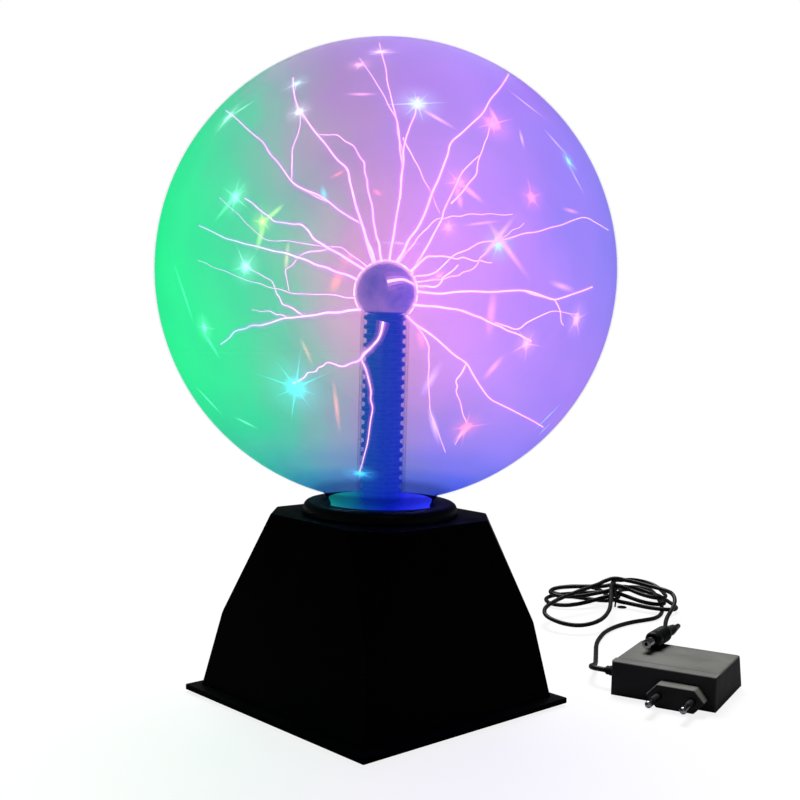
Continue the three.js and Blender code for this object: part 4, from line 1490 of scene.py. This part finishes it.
@dataclass
class Globe:
    """The blown globe and its neck, with the glass stem, sleeve and steel-wool electrode. Sizes in mm."""

    radius: float = 125.0
    centre: float = 236.3
    wall: float = 0.6
    flare: float = 33.0
    neck: tuple[tuple[float, float], ...] = (
        (30.9, 113.2), (29.6, 110.8), (29.0, 108.0), (29.0, 96.0), (29.0, 84.0),
    )
    bulb_radius: float = 17.0
    bulb_at: float = 226.0
    stem_radius: float = 13.4
    stem_wall: float = 1.3
    stem_foot: float = 25.6
    sleeve_radius: float = 11.6
    sleeve_bore: float = 8.8
    sleeve_tooth: float = 1.6
    sleeve_pitch: float = 5.0
    sleeve_low: float = 104.0
    sleeve_ribs: int = 22
    wool_radius: float = 15.4

    def blown(self, name: str, inset: float, low: float) -> bpy.types.Object:
        """The globe's surface: a sphere opened below and drawn out into its neck.

        Args:
            name: The piece's name.
            inset: How far inside the outer surface it lies.
            low: Where the neck ends.

        Returns:
            The open surface, facing out.
        """
        bpy.ops.object.select_all(action="DESELECT")
        radius, flare = self.radius - inset, self.flare - inset
        bpy.ops.mesh.primitive_uv_sphere_add(
            segments=128, ring_count=80, radius=radius * MM, location=(0.0, 0.0, self.centre * MM)
        )
        obj = named(name)
        bpy.ops.object.transform_apply(location=True, rotation=True, scale=True)
        height = self.centre - math.sqrt(radius**2 - flare**2)
        with editing(obj):
            bpy.ops.mesh.select_all(action="SELECT")
            bpy.ops.mesh.bisect(plane_co=(0.0, 0.0, height * MM), plane_no=(0.0, 0.0, 1.0), clear_inner=True)
            pick(obj, Element.VERTEX, lambda c, _: c.z < height + 0.01)
            wide = flare
            for ring, z in self.neck:
                z = max(z, low)
                bpy.ops.mesh.extrude_region_move(
                    TRANSFORM_OT_translate={"value": (0.0, 0.0, (z - height) * MM)}
                )
                share = (ring - inset) / wide
                bpy.ops.transform.resize(value=(share, share, 1.0), center_override=(0.0, 0.0, 0.0))
                height, wide = z, ring - inset
                if z <= low:
                    break
        return tidied(obj)

    def build_glass(self) -> None:
        """The globe's glass, with its real wall."""
        glass = self.blown("globe_shell", 0.0, 84.0)
        finished(glass, "SOLIDIFY", thickness=self.wall * MM, offset=-1.0, use_even_offset=True)
        select_only(glass)
        bpy.ops.object.shade_smooth()
        stands_for(dress(glass, GLOBE_GLASS), "stand", "clear_glass", "globe_glass")

    def build_gas(self) -> None:
        """The gas's glow, painted as a tint on a thin closed skin just inside the glass."""
        gas = self.blown("gas_colour", self.wall + 0.15, 97.0)
        finished(gas, "SOLIDIFY", thickness=0.3 * MM, offset=-1.0, use_even_offset=True)
        select_only(gas)
        bpy.ops.object.shade_smooth()
        stands_for(dress(gas, GasGlowTint()), "stand", "plasma_light")

    def stem_outline(self, inset: float) -> list[tuple[float, float]]:
        """Half of the stem's section from its top down: bulb, waist, tube and flared foot."""
        radius = self.stem_radius - inset
        bulb = list(arc(self.bulb_radius - inset, 90.0, -42.0, 22, (0.0, self.bulb_at)))
        bulb[0] = (0.0, self.bulb_at + self.bulb_radius - inset)
        foot = [(radius, 104.0), (radius + 0.8, 98.0), (radius + 3.0, 93.5)]
        foot.append((self.stem_foot - 4.0 - inset, 90.0))
        return [*bulb, (radius, 210.0), *foot, (self.stem_foot - inset, 87.0)]

    def build_stem(self) -> None:
        """The glass stem with its bulb, one closed wall."""
        outline = [*self.stem_outline(0.0), *reversed(self.stem_outline(self.stem_wall))]
        stem = smooth(turned("stem_tube", outline, 96), 60.0)
        stands_for(dress(stem, STEM_GLASS), "stand", "stem_glass", "stem_glass")

    def build_sleeve(self) -> None:
        """The sleeve, notched between every two ribs like a stack of washers."""
        outer, inner = self.sleeve_radius, self.sleeve_radius - self.sleeve_tooth
        outline = [(self.sleeve_bore, self.sleeve_low)]
        for i in range(self.sleeve_ribs):
            z = self.sleeve_low + i * self.sleeve_pitch
            outline += [(inner, z), (inner, z + 1.3), (outer - 0.2, z + 1.9), (outer, z + 2.2)]
            outline += [(outer, z + 3.6), (outer - 0.2, z + 3.9), (inner, z + 4.5)]
        top = self.sleeve_low + self.sleeve_ribs * self.sleeve_pitch
        outline += [(inner, top), (self.sleeve_bore, top), (self.sleeve_bore, self.sleeve_low)]
        sleeve = smooth(turned("ribbed_sleeve", outline, 64), 35.0)
        stands_for(dress(sleeve, RIBBED_SLEEVE), "stand", "sleeve_plastic", "stem_sleeve")

    def build_wool(self) -> None:
        """The ball of steel wool, with a rough surface of wire ends."""
        bpy.ops.object.select_all(action="DESELECT")
        bpy.ops.mesh.primitive_ico_sphere_add(
            subdivisions=6, radius=self.wool_radius * MM, location=(0.0, 0.0, self.bulb_at * MM)
        )
        wool = named("wool_ball")
        bpy.ops.object.transform_apply(location=True, rotation=True, scale=True)
        with editing(wool):
            bpy.ops.mesh.select_all(action="SELECT")
            bpy.ops.transform.vertex_random(offset=0.32 * MM, uniform=0.4, normal=0.9, seed=11)
            pick(wool, Element.VERTEX, lambda c, _: c.z < self.bulb_at - 11.0)
            bpy.ops.transform.resize(
                value=(1.0, 1.0, 0.35), center_override=(0.0, 0.0, (self.bulb_at - 11.0) * MM)
            )
        select_only(wool)
        bpy.ops.object.shade_smooth()
        stands_for(dress(wool, STEEL_WOOL), "stand", "steel_wool", "electrode_wool")

    def build(self) -> None:
        """Makes the globe and what stands in it."""
        self.build_glass()
        self.build_gas()
        self.build_stem()
        self.build_sleeve()
        self.build_wool()


# ---------------------------------------------------------------- the discharge
class Wall(Enum):
    """Which side of the globe a filament, star or wisp is on."""

    NEAR = 1.0
    FAR = -1.0


@dataclass(frozen=True)
class Filament:
    """One thread of the discharge: its course, as (degrees, mm) from the electrode, and its wall."""

    wall: Wall
    course: tuple[tuple[float, float], ...]
    thick: float = 1.0
    reach: float = 1.0


@dataclass(frozen=True)
class Star:
    """The bright burst where a filament meets the glass, by (angle, distance) from the globe's middle."""

    angle: float
    distance: float
    colour: str
    size_mm: float
    wall: Wall = Wall.NEAR
    spikes: int = 6
    lean_deg: float = 10.0


@dataclass(frozen=True)
class Wisp:
    """A faint streak of light on the glass, from one (sideways, up) place in mm to another."""

    start: tuple[float, float]
    end: tuple[float, float]
    colour: str
    width_mm: float
    wall: Wall = Wall.NEAR


@dataclass(frozen=True)
class GlowingGas:
    """Gas that glows: a soft light that shows what is behind it."""

    name: str
    strength: float
    opacity: float
    across: tuple[tuple[float, str], ...]
    patch_mm: float = 25.0
    faded: bool = False
    own_colour: bool = False

    def material(self) -> bpy.types.Material:
        """Builds the material."""
        made, tree, output = fresh_material(self.name)
        place = node(tree, "TexCoord").outputs["Object"]
        if self.own_colour:
            colour = node(tree, "Attribute", {"attribute_name": "light_colour"}).outputs["Color"]
        else:
            _, along = towards_violet(tree, place, GAS_HALF_WIDTH_MM)
            colour = node(
                tree, "ValToRGB", {"stops": [(p, rgba(c)) for p, c in self.across]}, {"Fac": along}
            ).outputs["Color"]
        patches = node(
            tree, "TexNoise", {"Scale": 1 / (self.patch_mm * MM), "Detail": 3.0},
            {"Vector": place},
        )
        solid = node(
            tree, "MapRange",
            {
                "From Min": 0.3, "From Max": 0.7, "To Min": self.opacity * 0.55,
                "To Max": min(1.0, self.opacity * 1.45),
            },
            {"Value": patches.outputs["Fac"]},
        ).outputs["Result"]
        if self.faded:
            glow = node(tree, "Attribute", {"attribute_name": "glow"})
            fall = node(tree, "Math", {"operation": "POWER", 1: 1.7}, {0: glow.outputs["Fac"]})
            solid = node(
                tree, "Math", {"operation": "MULTIPLY"}, {0: solid, 1: fall.outputs["Value"]}
            ).outputs["Value"]
        shader = node(
            tree, "BsdfPrincipled",
            {"Base Color": (0, 0, 0, 1), "Roughness": 1.0, "Specular IOR Level": 0.0,
             "Emission Strength": self.strength},
            {"Emission Color": colour, "Alpha": solid},
        )
        tree.links.new(shader.outputs["BSDF"], output.inputs["Surface"])
        made.cycles.emission_sampling = "NONE"
        return made


THREAD_COLOURS = ((0.05, "F9B3CB"), (0.45, "E6CCC8"), (0.9, "DCE0C0"))
# Core of a filament: hot gas, pink at the green side and nearly white at the violet side.
THREAD_LIGHT = GlowingGas("filament_core_light", 3.1, 1.0, THREAD_COLOURS, patch_mm=6.0)
# Glow close round a filament: thin, soft and pinkish violet.
HALO_LIGHT = GlowingGas(
    "filament_halo_light", 1.7, 0.2, ((0.05, "D8A0F0"), (0.5, "E8A8F0"), (0.9, "F0B0E8"))
)
# Glow that clings to the bulb: a pale pink skin.
SHEATH_LIGHT = GlowingGas("bulb_sheath_light", 1.5, 0.04, ((0.3, "E8B0E0"), (0.7, "F4C0EC")), patch_mm=10.0)
# Burst where a filament meets the glass: each in its own colour, fading to its rim.
STAR_LIGHT = GlowingGas("wall_star_light", 2.4, 0.95, (), faded=True, own_colour=True, patch_mm=30.0)
# Wider glow round a filament: hardly there, violet to pink.
GLARE_LIGHT = GlowingGas(
    "filament_glare_light", 1.4, 0.07, ((0.05, "C8A0F8"), (0.5, "E8A0F0"), (0.9, "F0A0F0"))
)
# Cloud of warm pink gas behind the bulb.
BLOOM_LIGHT = GlowingGas(
    "pink_bloom_light", 2.4, 0.011, ((0.25, "F0B8B0"), (0.5, "FFACC8"), (0.8, "F0A0F0"))
)
# Light that the neck of the globe gathers: green on one side, deep blue on the other.
NECK_LIGHT = GlowingGas(
    "lit_neck_light", 1.5, 0.55, ((0.39, "34C090"), (0.47, "20689C"), (0.52, "1C30C8"), (0.6, "6460FF"))
)


@dataclass
class Discharge:
    """The light in the globe: filaments from electrode to glass, stars where they land, wisps and bloom.

    Angles are anticlockwise from the violet side, in the plane that the green and violet sides lie in.
    """

    globe: Globe
    viewer: Vector
    seed: int = 20
    bulb_edge: float = 17.0
    bulb_skin: float = 17.9
    stem_skin: float = 15.2
    bloom_depth: float = 0.45
    filaments: tuple[Filament, ...] = (
        Filament(Wall.FAR, ((100, 17), (101, 35), (101, 52), (101, 71), (104, 81), (109, 89), (115, 93))),
        Filament(Wall.NEAR, ((112, 17), (111, 43), (109, 70), (115, 93), (117, 112), (115, 126)), 1.15),
        Filament(Wall.NEAR, ((115, 17), (111, 38), (124, 58), (132, 78), (131, 105), (133, 131))),
        Filament(Wall.FAR, ((124, 58), (132, 78), (125, 92), (119, 101), (117, 109)), 0.7),
        Filament(Wall.NEAR, ((136, 17), (144, 39), (145, 49), (143, 59), (149, 72), (148, 92)), 1.1),
        Filament(Wall.FAR, ((144, 39), (157, 50), (169, 56), (181, 53)), 0.7, 0.6),
        Filament(Wall.NEAR, ((158, 17), (160, 53), (162, 71), (163, 92), (162, 108))),
        Filament(Wall.NEAR, ((-145, 17), (-162, 46), (-164, 58), (-164, 85), (-161, 95)), 1.1),
        Filament(Wall.FAR, ((-162, 46), (-172, 57), (176, 63), (170, 80)), 0.75),
        Filament(Wall.FAR, ((-164, 56), (-169, 64), (-171, 74)), 0.6, 0.7),
        Filament(Wall.NEAR, ((-93, 16), (-96, 24), (-110, 40), (-119, 47), (-128, 50), (-134, 71)), 1.1),
        Filament(Wall.NEAR, ((-104, 32), (-109, 38), (-97, 55), (-95, 64), (-96, 90), (-97, 101)), 0.85, 0.9),
        Filament(Wall.FAR, ((85, 17), (83, 51), (84, 70), (88, 94), (93, 134))),
        Filament(Wall.NEAR, ((84, 70), (88, 94), (94, 112), (98, 127)), 0.6),
        Filament(Wall.NEAR, ((83, 51), (84, 84), (82, 98), (82, 107)), 0.75),
        Filament(Wall.FAR, ((85, 84), (79, 73), (69, 61), (57, 52)), 0.6, 0.6),
        Filament(Wall.NEAR, ((73, 17), (65, 45), (67, 76), (68, 88), (63, 110), (62, 135)), 1.2),
        Filament(Wall.FAR, ((69, 17), (60, 38), (56, 49), (43, 64), (33, 81)), 0.7),
        Filament(Wall.FAR, ((36, 17), (52, 42), (59, 75), (57, 90))),
        Filament(Wall.NEAR, ((55, 60), (54, 80), (58, 97), (60, 112)), 0.6),
        Filament(Wall.NEAR, ((42, 18), (42, 30), (30, 40), (23, 49), (17, 60)), 0.9),
        Filament(
            Wall.FAR, ((30, 18), (23, 28), (30, 42), (29, 58), (26, 68), (23, 96), (22, 116), (17, 126)), 0.7
        ),
        Filament(Wall.NEAR, ((3, 17), (0, 30), (2, 50), (2, 76), (-1, 92), (3, 113)), 1.15),
        Filament(Wall.NEAR, ((2, 76), (-1, 92), (-5, 96), (-9, 99)), 0.6),
        Filament(Wall.NEAR, ((-23, 17), (-12, 41), (-15, 63), (-17, 84)), 1.15),
        Filament(Wall.FAR, ((-14, 62), (-14, 75), (-8, 84), (-5, 92), (-5, 106)), 0.6),
        Filament(Wall.NEAR, ((-47, 17), (-41, 44), (-40, 59), (-44, 82), (-39, 114)), 1.0),
        Filament(Wall.FAR, ((-40, 59), (-50, 62), (-53, 67), (-57, 85), (-64, 92)), 0.65),
        Filament(Wall.FAR, ((-46, 25), (-50, 38), (-62, 52), (-68, 70), (-68, 94)), 0.65),
        Filament(Wall.NEAR, ((80, 6), (40, 11), (13, 18), (8, 27), (22, 42)), 1.5, 0.4),
        Filament(Wall.FAR, ((20, 17), (14, 32), (16, 48), (26, 66), (28, 84)), 0.6),
        Filament(Wall.FAR, ((-168, 17), (-176, 32), (-178, 52), (176, 80), (172, 104)), 0.55),
        Filament(Wall.FAR, ((128, 17), (136, 34), (150, 50), (158, 72), (152, 104)), 0.55),
    )
    stars: tuple[Star, ...] = (
        Star(93, 119, "FFE8F4", 9), Star(99, 113, "FFC8DC", 8, Wall.NEAR, 5),
        Star(81, 93, "C8FFF4", 14, Wall.NEAR, 8), Star(117, 113, "D8FFFF", 9, Wall.NEAR, 5),
        Star(120, 99, "F4FFFF", 8), Star(137, 120, "E8FFF4", 11, Wall.NEAR, 4),
        Star(56, 99, "FFA8E0", 13, Wall.NEAR, 6), Star(53, 63, "FFB0F0", 11, Wall.FAR, 6),
        Star(155, 92, "D8FFF0", 11), Star(159, 73, "F0FFA0", 10, Wall.FAR, 5),
        Star(179, 77, "E8FFFF", 10, Wall.NEAR, 5), Star(29, 89, "FFA8D0", 9, Wall.NEAR, 5),
        Star(16, 63, "A0FFFF", 14, Wall.FAR, 8), Star(33, 116, "90FFFF", 8),
        Star(-12, 107, "FFD0F0", 11, Wall.NEAR, 5), Star(-25, 86, "FFC8E8", 9, Wall.NEAR, 5),
        Star(-162, 104, "C8FFD8", 8, Wall.NEAR, 4), Star(-127, 80, "70F8FF", 19, Wall.NEAR, 8, 22.0),
        Star(-96, 111, "60E8FF", 11, Wall.NEAR, 6), Star(-61, 95, "FFA0A8", 11, Wall.NEAR, 4),
        Star(-43, 122, "80F0FF", 8, Wall.NEAR, 4), Star(-2, 29, "FFB0D8", 7, Wall.FAR, 5),
        Star(38, 42, "FFB8E8", 8, Wall.FAR),
    )

    wisps: tuple[Wisp, ...] = (
        Wisp((64, 104), (83, 82), "E8D8FF", 1.6), Wisp((83, 82), (97, 64), "E0D8FF", 1.6),
        Wisp((97, 64), (106, 44), "C8D0FF", 1.4), Wisp((73, 82), (70, 67), "F0D8FF", 1.4),
        Wisp((-120, 4), (-101, -31), "B0FFD8", 1.4), Wisp((-101, -31), (-90, -50), "A0FFD0", 1.6),
        Wisp((-106, -62), (-86, -82), "F0FFF4", 1.8), Wisp((-84, -80), (-66, -88), "C8FFE0", 1.4),
        Wisp((-89, 81), (-72, 92), "C8FFE0", 1.6), Wisp((85, -87), (97, -65), "A0E8FF", 1.6),
        Wisp((-25, -55), (-26, -92), "F8B8A0", 1.8), Wisp((47, -78), (41, -95), "FFC0A8", 2.4),
        Wisp((-32, -16), (-22, 7), "FFA890", 5, Wall.FAR),
        Wisp((-27, 4), (-15, 10), "FFA0A0", 5, Wall.FAR),
        Wisp((18, -23), (22, -45), "FF9CB8", 4.5, Wall.FAR),
        Wisp((-46, -33), (-39, -55), "E8C0A8", 2, Wall.FAR), Wisp((-37, 47), (-33, 37), "80F0E8", 2.2),
        Wisp((-33, 49), (-22, 57), "FFA0A8", 1.6, Wall.FAR),
        Wisp((-10, 46), (-2, 41), "FF98B0", 2.4, Wall.FAR),
        Wisp((38, 52), (39, 32), "FFB8E0", 3, Wall.FAR), Wisp((52, 30), (80, -1), "F0B8F8", 2.4),
        Wisp((58, 0), (58, -40), "F0B0F0", 5, Wall.FAR), Wisp((30, -47), (22, -68), "D8C0FF", 3),
        Wisp((22, -68), (35, -98), "E8D8FF", 2.4), Wisp((-25, 96), (-7, 96), "FFC0E0", 1.6),
        Wisp((56, 94), (57, 77), "FFB8E0", 2), Wisp((-96, 25), (-76, 47), "A8FFC8", 1.8),
        Wisp((-67, 27), (-71, 10), "E8F8A0", 2.2), Wisp((-68, 26), (-56, 36), "D8F8A0", 1.8),
        Wisp((-54, 20), (-55, -6), "F0D8B0", 2.4, Wall.FAR), Wisp((55, -58), (65, -42), "F0B0E8", 2.6),
        Wisp((-10, 17), (25, 16), "C0C8F8", 1.4, Wall.FAR), Wisp((90, 37), (109, 36), "E8B0E8", 1.6),
        Wisp((48, 7), (72, 34), "E8C0F8", 2.0), Wisp((38, 51), (52, 39), "FFB8E8", 2.0),
        Wisp((15, 92), (35, 77), "F0C8F8", 1.8), Wisp((35, 27), (67, 30), "F0C0F8", 1.6, Wall.FAR),
        Wisp((80, -1), (112, -8), "E0B8FF", 3, Wall.FAR),
    )
    star_scale: float = 1.7

    def flat_place(self, angle: float, distance: float, height: float) -> Vector:
        """A place in the middle plane, in mm, from a point on the axis at a height."""
        radians = math.radians(angle)
        return SIDEWAYS * (distance * math.cos(radians)) + UP * (height + distance * math.sin(radians))

    def onto_wall(self, flat: Vector, wall: Wall, inset: float = 3.4) -> float:
        """How far nearer a place in the middle plane has to come to lie on the globe's inner wall, in mm."""
        direction = (self.viewer / MM - flat).normalized()
        middle = flat - UP * self.globe.centre
        along = middle.dot(direction)
        room = along**2 - middle.length_squared + (self.globe.radius - inset) ** 2
        return -along + wall.value * math.sqrt(max(room, 0.0))

    def brought(self, flat: Vector, nearer: float) -> Vector:
        """Moves a place along its line of sight, in mm, and gives it in metres."""
        return (flat + (self.viewer / MM - flat).normalized() * nearer) * MM

    def thread(self, filament: Filament, chance: random.Random) -> tuple[list[Vector], list[float]]:
        """The course of a filament in space, with a small flicker, and its thickness along it."""
        places, widths = [], []
        flats = [self.flat_place(a, d, self.globe.bulb_at) for a, d in filament.course]
        last = self.onto_wall(flats[-1], filament.wall) * filament.reach
        start, end = filament.course[0][1], max(d for _, d in filament.course)
        from_bulb = start < self.bulb_edge + 1
        for index, (flat, (angle, distance)) in enumerate(zip(flats, filament.course, strict=True)):
            share = index / (len(flats) - 1)
            out = 0.35 + 0.65 * share
            if from_bulb:
                out = max(0.0, distance - self.bulb_edge) / (end - self.bulb_edge + 1e-6)
            depth = last * min(1.0, out) ** 1.3
            limit = self.onto_wall(flat, filament.wall)
            if abs(depth) > abs(limit):
                depth = limit
            if distance < self.bulb_skin:
                depth = max(depth, math.sqrt(self.bulb_skin**2 - distance**2))
            aside = distance * math.cos(math.radians(angle))
            if filament.wall is Wall.NEAR and angle < -80 and abs(aside) < self.stem_skin:
                depth = max(depth, math.sqrt(self.stem_skin**2 - aside**2))
            places.append(self.brought(flat, depth))
            widths.append(filament.thick * (1.5 - 1.0 * share**0.7))
        fine, fine_widths = [], []
        for (a, b), (wa, wb) in zip(pairwise(places), pairwise(widths)):
            steps = max(1, round((b - a).length / (7 * MM)))
            for k in range(steps):
                t = k / steps
                shake = Vector([chance.uniform(-1, 1) for _ in range(3)]) * 0.55 * MM
                fine.append(a.lerp(b, t) + (shake if k else shake * 0.3))
                fine_widths.append(wa + (wb - wa) * t)
        return [*fine, places[-1]], [*fine_widths, widths[-1]]

    def tubes(self, name: str, threads: Sequence, radius_mm: float, sides: int) -> bpy.types.Object:
        """Round threads along courses, as one mesh."""
        made = curve_of(name, [t[0] for t in threads], [t[1] for t in threads])
        made.data.bevel_depth = radius_mm * MM
        made.data.bevel_resolution = sides
        made.data.resolution_u = 4
        select_only(made)
        bpy.ops.object.convert(target="MESH")
        bpy.ops.object.shade_smooth()
        return named(name)

    def build_filaments(self) -> None:
        """The filaments, each a bright core in a soft halo."""
        chance = random.Random(self.seed)
        threads = [self.thread(f, chance) for f in self.filaments]
        core = self.tubes("filament_cores", threads, 0.42, 1)
        stands_for(dress(core, THREAD_LIGHT), "stand", "plasma_light")
        halo = self.tubes("filament_halos", threads, 1.15, 2)
        stands_for(dress(halo, HALO_LIGHT), "stand", "plasma_light")
        glare = self.tubes("filament_glare", threads, 2.3, 2)
        stands_for(dress(glare, GLARE_LIGHT), "stand", "plasma_light")

    def against_wall(
        self, made: bpy.types.Object, place: tuple[float, float], wall: Wall, spin: float
    ) -> None:
        """Lays a flat piece of light against the glass.

        Args:
            made: The piece, made round the origin in the XY plane.
            place: Its (sideways, up) place in mm from the globe's middle.
            wall: The side of the globe it lies on.
            spin: How far it is turned in its own plane, in degrees.
        """
        flat = SIDEWAYS * place[0] + UP * (self.globe.centre + place[1])
        spot = self.brought(flat, self.onto_wall(flat, wall, 4.4))
        normal = (Vector((0.0, 0.0, self.globe.centre * MM)) - spot).normalized()
        level = normal.cross(UP).normalized()
        facing = Matrix((level, normal.cross(level), normal)).transposed().to_4x4()
        laid(made, Matrix.Translation(spot) @ facing @ turn(spin, "Z"))

    def tinted(self, made: bpy.types.Object, colour: str, middle: float) -> None:
        """Gives a fan of light its colour, and a glow that fades from its middle to its rim."""
        glow = made.data.attributes.new("glow", "FLOAT", "POINT")
        tint = made.data.attributes.new("light_colour", "FLOAT_COLOR", "POINT")
        for vertex in made.data.vertices:
            tint.data[vertex.index].color = rgba(colour)
            glow.data[vertex.index].value = middle if vertex.co.xy.length < 0.1 * MM else 0.0

    def fan(self, name: str, radius: float, rim: int) -> bpy.types.Object:
        """A thin closed fan of triangles round its middle, in mm."""
        bpy.ops.object.select_all(action="DESELECT")
        bpy.ops.mesh.primitive_cone_add(
            vertices=rim, radius1=radius * MM, depth=0.4 * MM, end_fill_type="TRIFAN"
        )
        return named(name)

    def star(self, star: Star, index: int, chance: random.Random) -> list[bpy.types.Object]:
        """One star: long thin rays, and a round glow at its middle."""
        radians = math.radians(star.angle)
        place = (star.distance * math.cos(radians), star.distance * math.sin(radians))
        rays = self.fan(f"rays_{index}", star.size_mm * self.star_scale, star.spikes * 2)
        rim = [v for v in rays.data.vertices if v.co.xy.length > 0.1 * MM]
        for count, vertex in enumerate(rim):
            vertex.co.xy *= chance.uniform(0.4, 1.0) if count % 2 else 0.07
        middle = self.fan(f"middle_{index}", star.size_mm * 0.42, 24)
        soft = self.fan(f"soft_{index}", star.size_mm * 1.1, 24)
        for made, strength in ((rays, 1.0), (middle, 1.0), (soft, 0.38)):
            self.tinted(made, star.colour, strength)
            self.against_wall(made, place, star.wall, star.lean_deg + 25.0 * index)
        return [rays, middle, soft]

    def wisp(self, wisp: Wisp, index: int) -> bpy.types.Object:
        """One faint streak: a long diamond that fades to both ends."""
        (x0, z0), (x1, z1) = wisp.start, wisp.end
        made = self.fan(f"wisp_{index}", 1.0, 16)
        half = math.hypot(x1 - x0, z1 - z0) / 2
        for vertex in made.data.vertices:
            vertex.co.x *= half
            vertex.co.y *= wisp.width_mm
        self.tinted(made, wisp.colour, 0.75)
        spin = math.degrees(math.atan2(z1 - z0, x1 - x0))
        if wisp.wall is Wall.NEAR:
            spin = 180 - spin
        self.against_wall(made, ((x0 + x1) / 2, (z0 + z1) / 2), wisp.wall, spin)
        return made

    def build_stars(self) -> None:
        """All the stars and wisps, as one piece."""
        chance = random.Random(self.seed + 1)
        pieces = [piece for i, s in enumerate(self.stars) for piece in self.star(s, i, chance)]
        pieces += [self.wisp(w, i) for i, w in enumerate(self.wisps)]
        stars = together("wall_stars", pieces)
        stands_for(dress(stars, STAR_LIGHT), "stand", "plasma_light")

    def build_sheath(self) -> None:
        """The thin skins of glowing gas on the electrode's bulb, and the brighter ring round it."""
        skins = []
        for i in range(3):
            outer, inner = 17.5 + 0.4 * i, 17.3 + 0.4 * i
            middle = (0.0, self.globe.bulb_at)
            outline = [(0.0, self.globe.bulb_at + outer), *arc(outer, 87.0, -38.0, 30, middle)]
            outline += [*arc(inner, -38.0, 87.0, 30, middle), (0.0, self.globe.bulb_at + inner)]
            skins.append(turned(f"skin_{i}", outline, 64))
        sheath = smooth(together("bulb_sheath", skins), 60.0)
        stands_for(dress(sheath, SHEATH_LIGHT), "stand", "plasma_light")
        ring = [self.brought(self.flat_place(a, 17.3, self.globe.bulb_at), 3.0) for a in range(-42, 223, 5)]
        outline = self.tubes("bulb_outline", [(ring, [1.0] * len(ring))], 0.5, 1)
        stands_for(dress(outline, THREAD_LIGHT), "stand", "plasma_light")

    def build_neck(self) -> None:
        """The gas in the neck, lit green on one side and violet on the other."""
        outline = [
            (27.4, 99.0), (27.4, 109.5), (28.6, 112.4), (28.4, 112.5), (27.1, 109.6), (27.1, 99.0),
            (27.4, 99.0),
        ]
        neck = smooth(turned("lit_neck", outline, 96), 60.0)
        stands_for(dress(neck, NECK_LIGHT), "stand", "plasma_light")

    def build_bloom(self) -> None:
        """The pink bloom round the electrode: soft balls of light, one inside another."""
        balls = []
        for i in range(11):
            radius = 20.0 + 6.6 * i
            middle = SIDEWAYS * (4.0 + 1.6 * i) + UP * (self.globe.bulb_at + 1.0 + 0.9 * i)
            middle -= NEARWARDS * radius * self.bloom_depth * 0.9
            sizes = (SIDEWAYS * radius, NEARWARDS * -radius * self.bloom_depth, UP * radius * 0.92)
            bpy.ops.object.select_all(action="DESELECT")
            bpy.ops.mesh.primitive_uv_sphere_add(segments=48, ring_count=24, radius=1.0)
            stretch = Matrix([s * MM for s in sizes]).transposed().to_4x4()
            balls.append(laid(named(f"ball_{i}"), Matrix.Translation(middle * MM) @ stretch))
        bloom = together("pink_bloom", balls)
        bpy.ops.object.shade_smooth()
        stands_for(dress(bloom, BLOOM_LIGHT), "stand", "plasma_light")

    def build(self) -> None:
        """Makes all of the light."""
        self.build_filaments()
        self.build_stars()
        self.build_sheath()
        self.build_neck()
        self.build_bloom()


# ---------------------------------------------------------------- the CAD pieces inside
@dataclass(frozen=True)
class Interior:
    """Finishes for the CAD pieces that stay as they are, most of them inside the stand."""

    finishes: tuple[tuple[Moulded | Metal, tuple[str, ...]], ...] = (
        (STAND_ABS, ("bottom_cover",)), (SOFT_RUBBER, ("neck_gasket",)), (PHENOLIC, ("neck_clamp",)),
        (ZINC_STEEL, ("hv_rod", "jack_nut", *(f"board_screw_{i}" for i in range(1, 5)))),
        (BRASS, ("hv_contact_cap",)), (LAMINATE, ("driver_board", "adapter_board")),
        (FERRITE, ("flyback_core", "adapter_transformer")), (ENAMELLED_COPPER, ("flyback_winding",)),
        (ALUMINIUM, ("heat_sink", "microphone")), (EPOXY, ("power_transistor", "sound_chip")),
        (CAN_SLEEVE, ("bulk_capacitor",)), (FILM_CASE, ("film_capacitor",)),
        (LEAD_PVC, ("hv_lead", "jack_lead", "switch_lead")),
    )

    def build(self) -> None:
        """Gives each of those pieces its finish."""
        for finish, names in self.finishes:
            material = bpy.data.materials.get(finish.name) or finish.material()
            for name in names:
                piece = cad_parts[name]
                if not piece.material_slots:
                    piece.data.materials.append(material)
                for place in piece.material_slots:
                    place.material = material
                LOG.info("%s keeps its CAD form, in %s", name, finish.name)


def main() -> None:
    """Builds the object in order and reports each piece."""
    logging.basicConfig(level=logging.INFO, format="%(message)s")
    CameraRig().build()
    Studio().build()
    lead = Cord().build()
    plug = BarrelPlug().build()
    tie = HankTie().build()
    Adapter().build()
    stand = Stand()
    panel = RearPanel(stand)
    stand.build(panel.cutters())
    panel.build()
    globe = Globe()
    globe.build()
    Discharge(globe, CameraRig().place()).build()
    Interior().build()


if __name__ == "__main__":
    main()
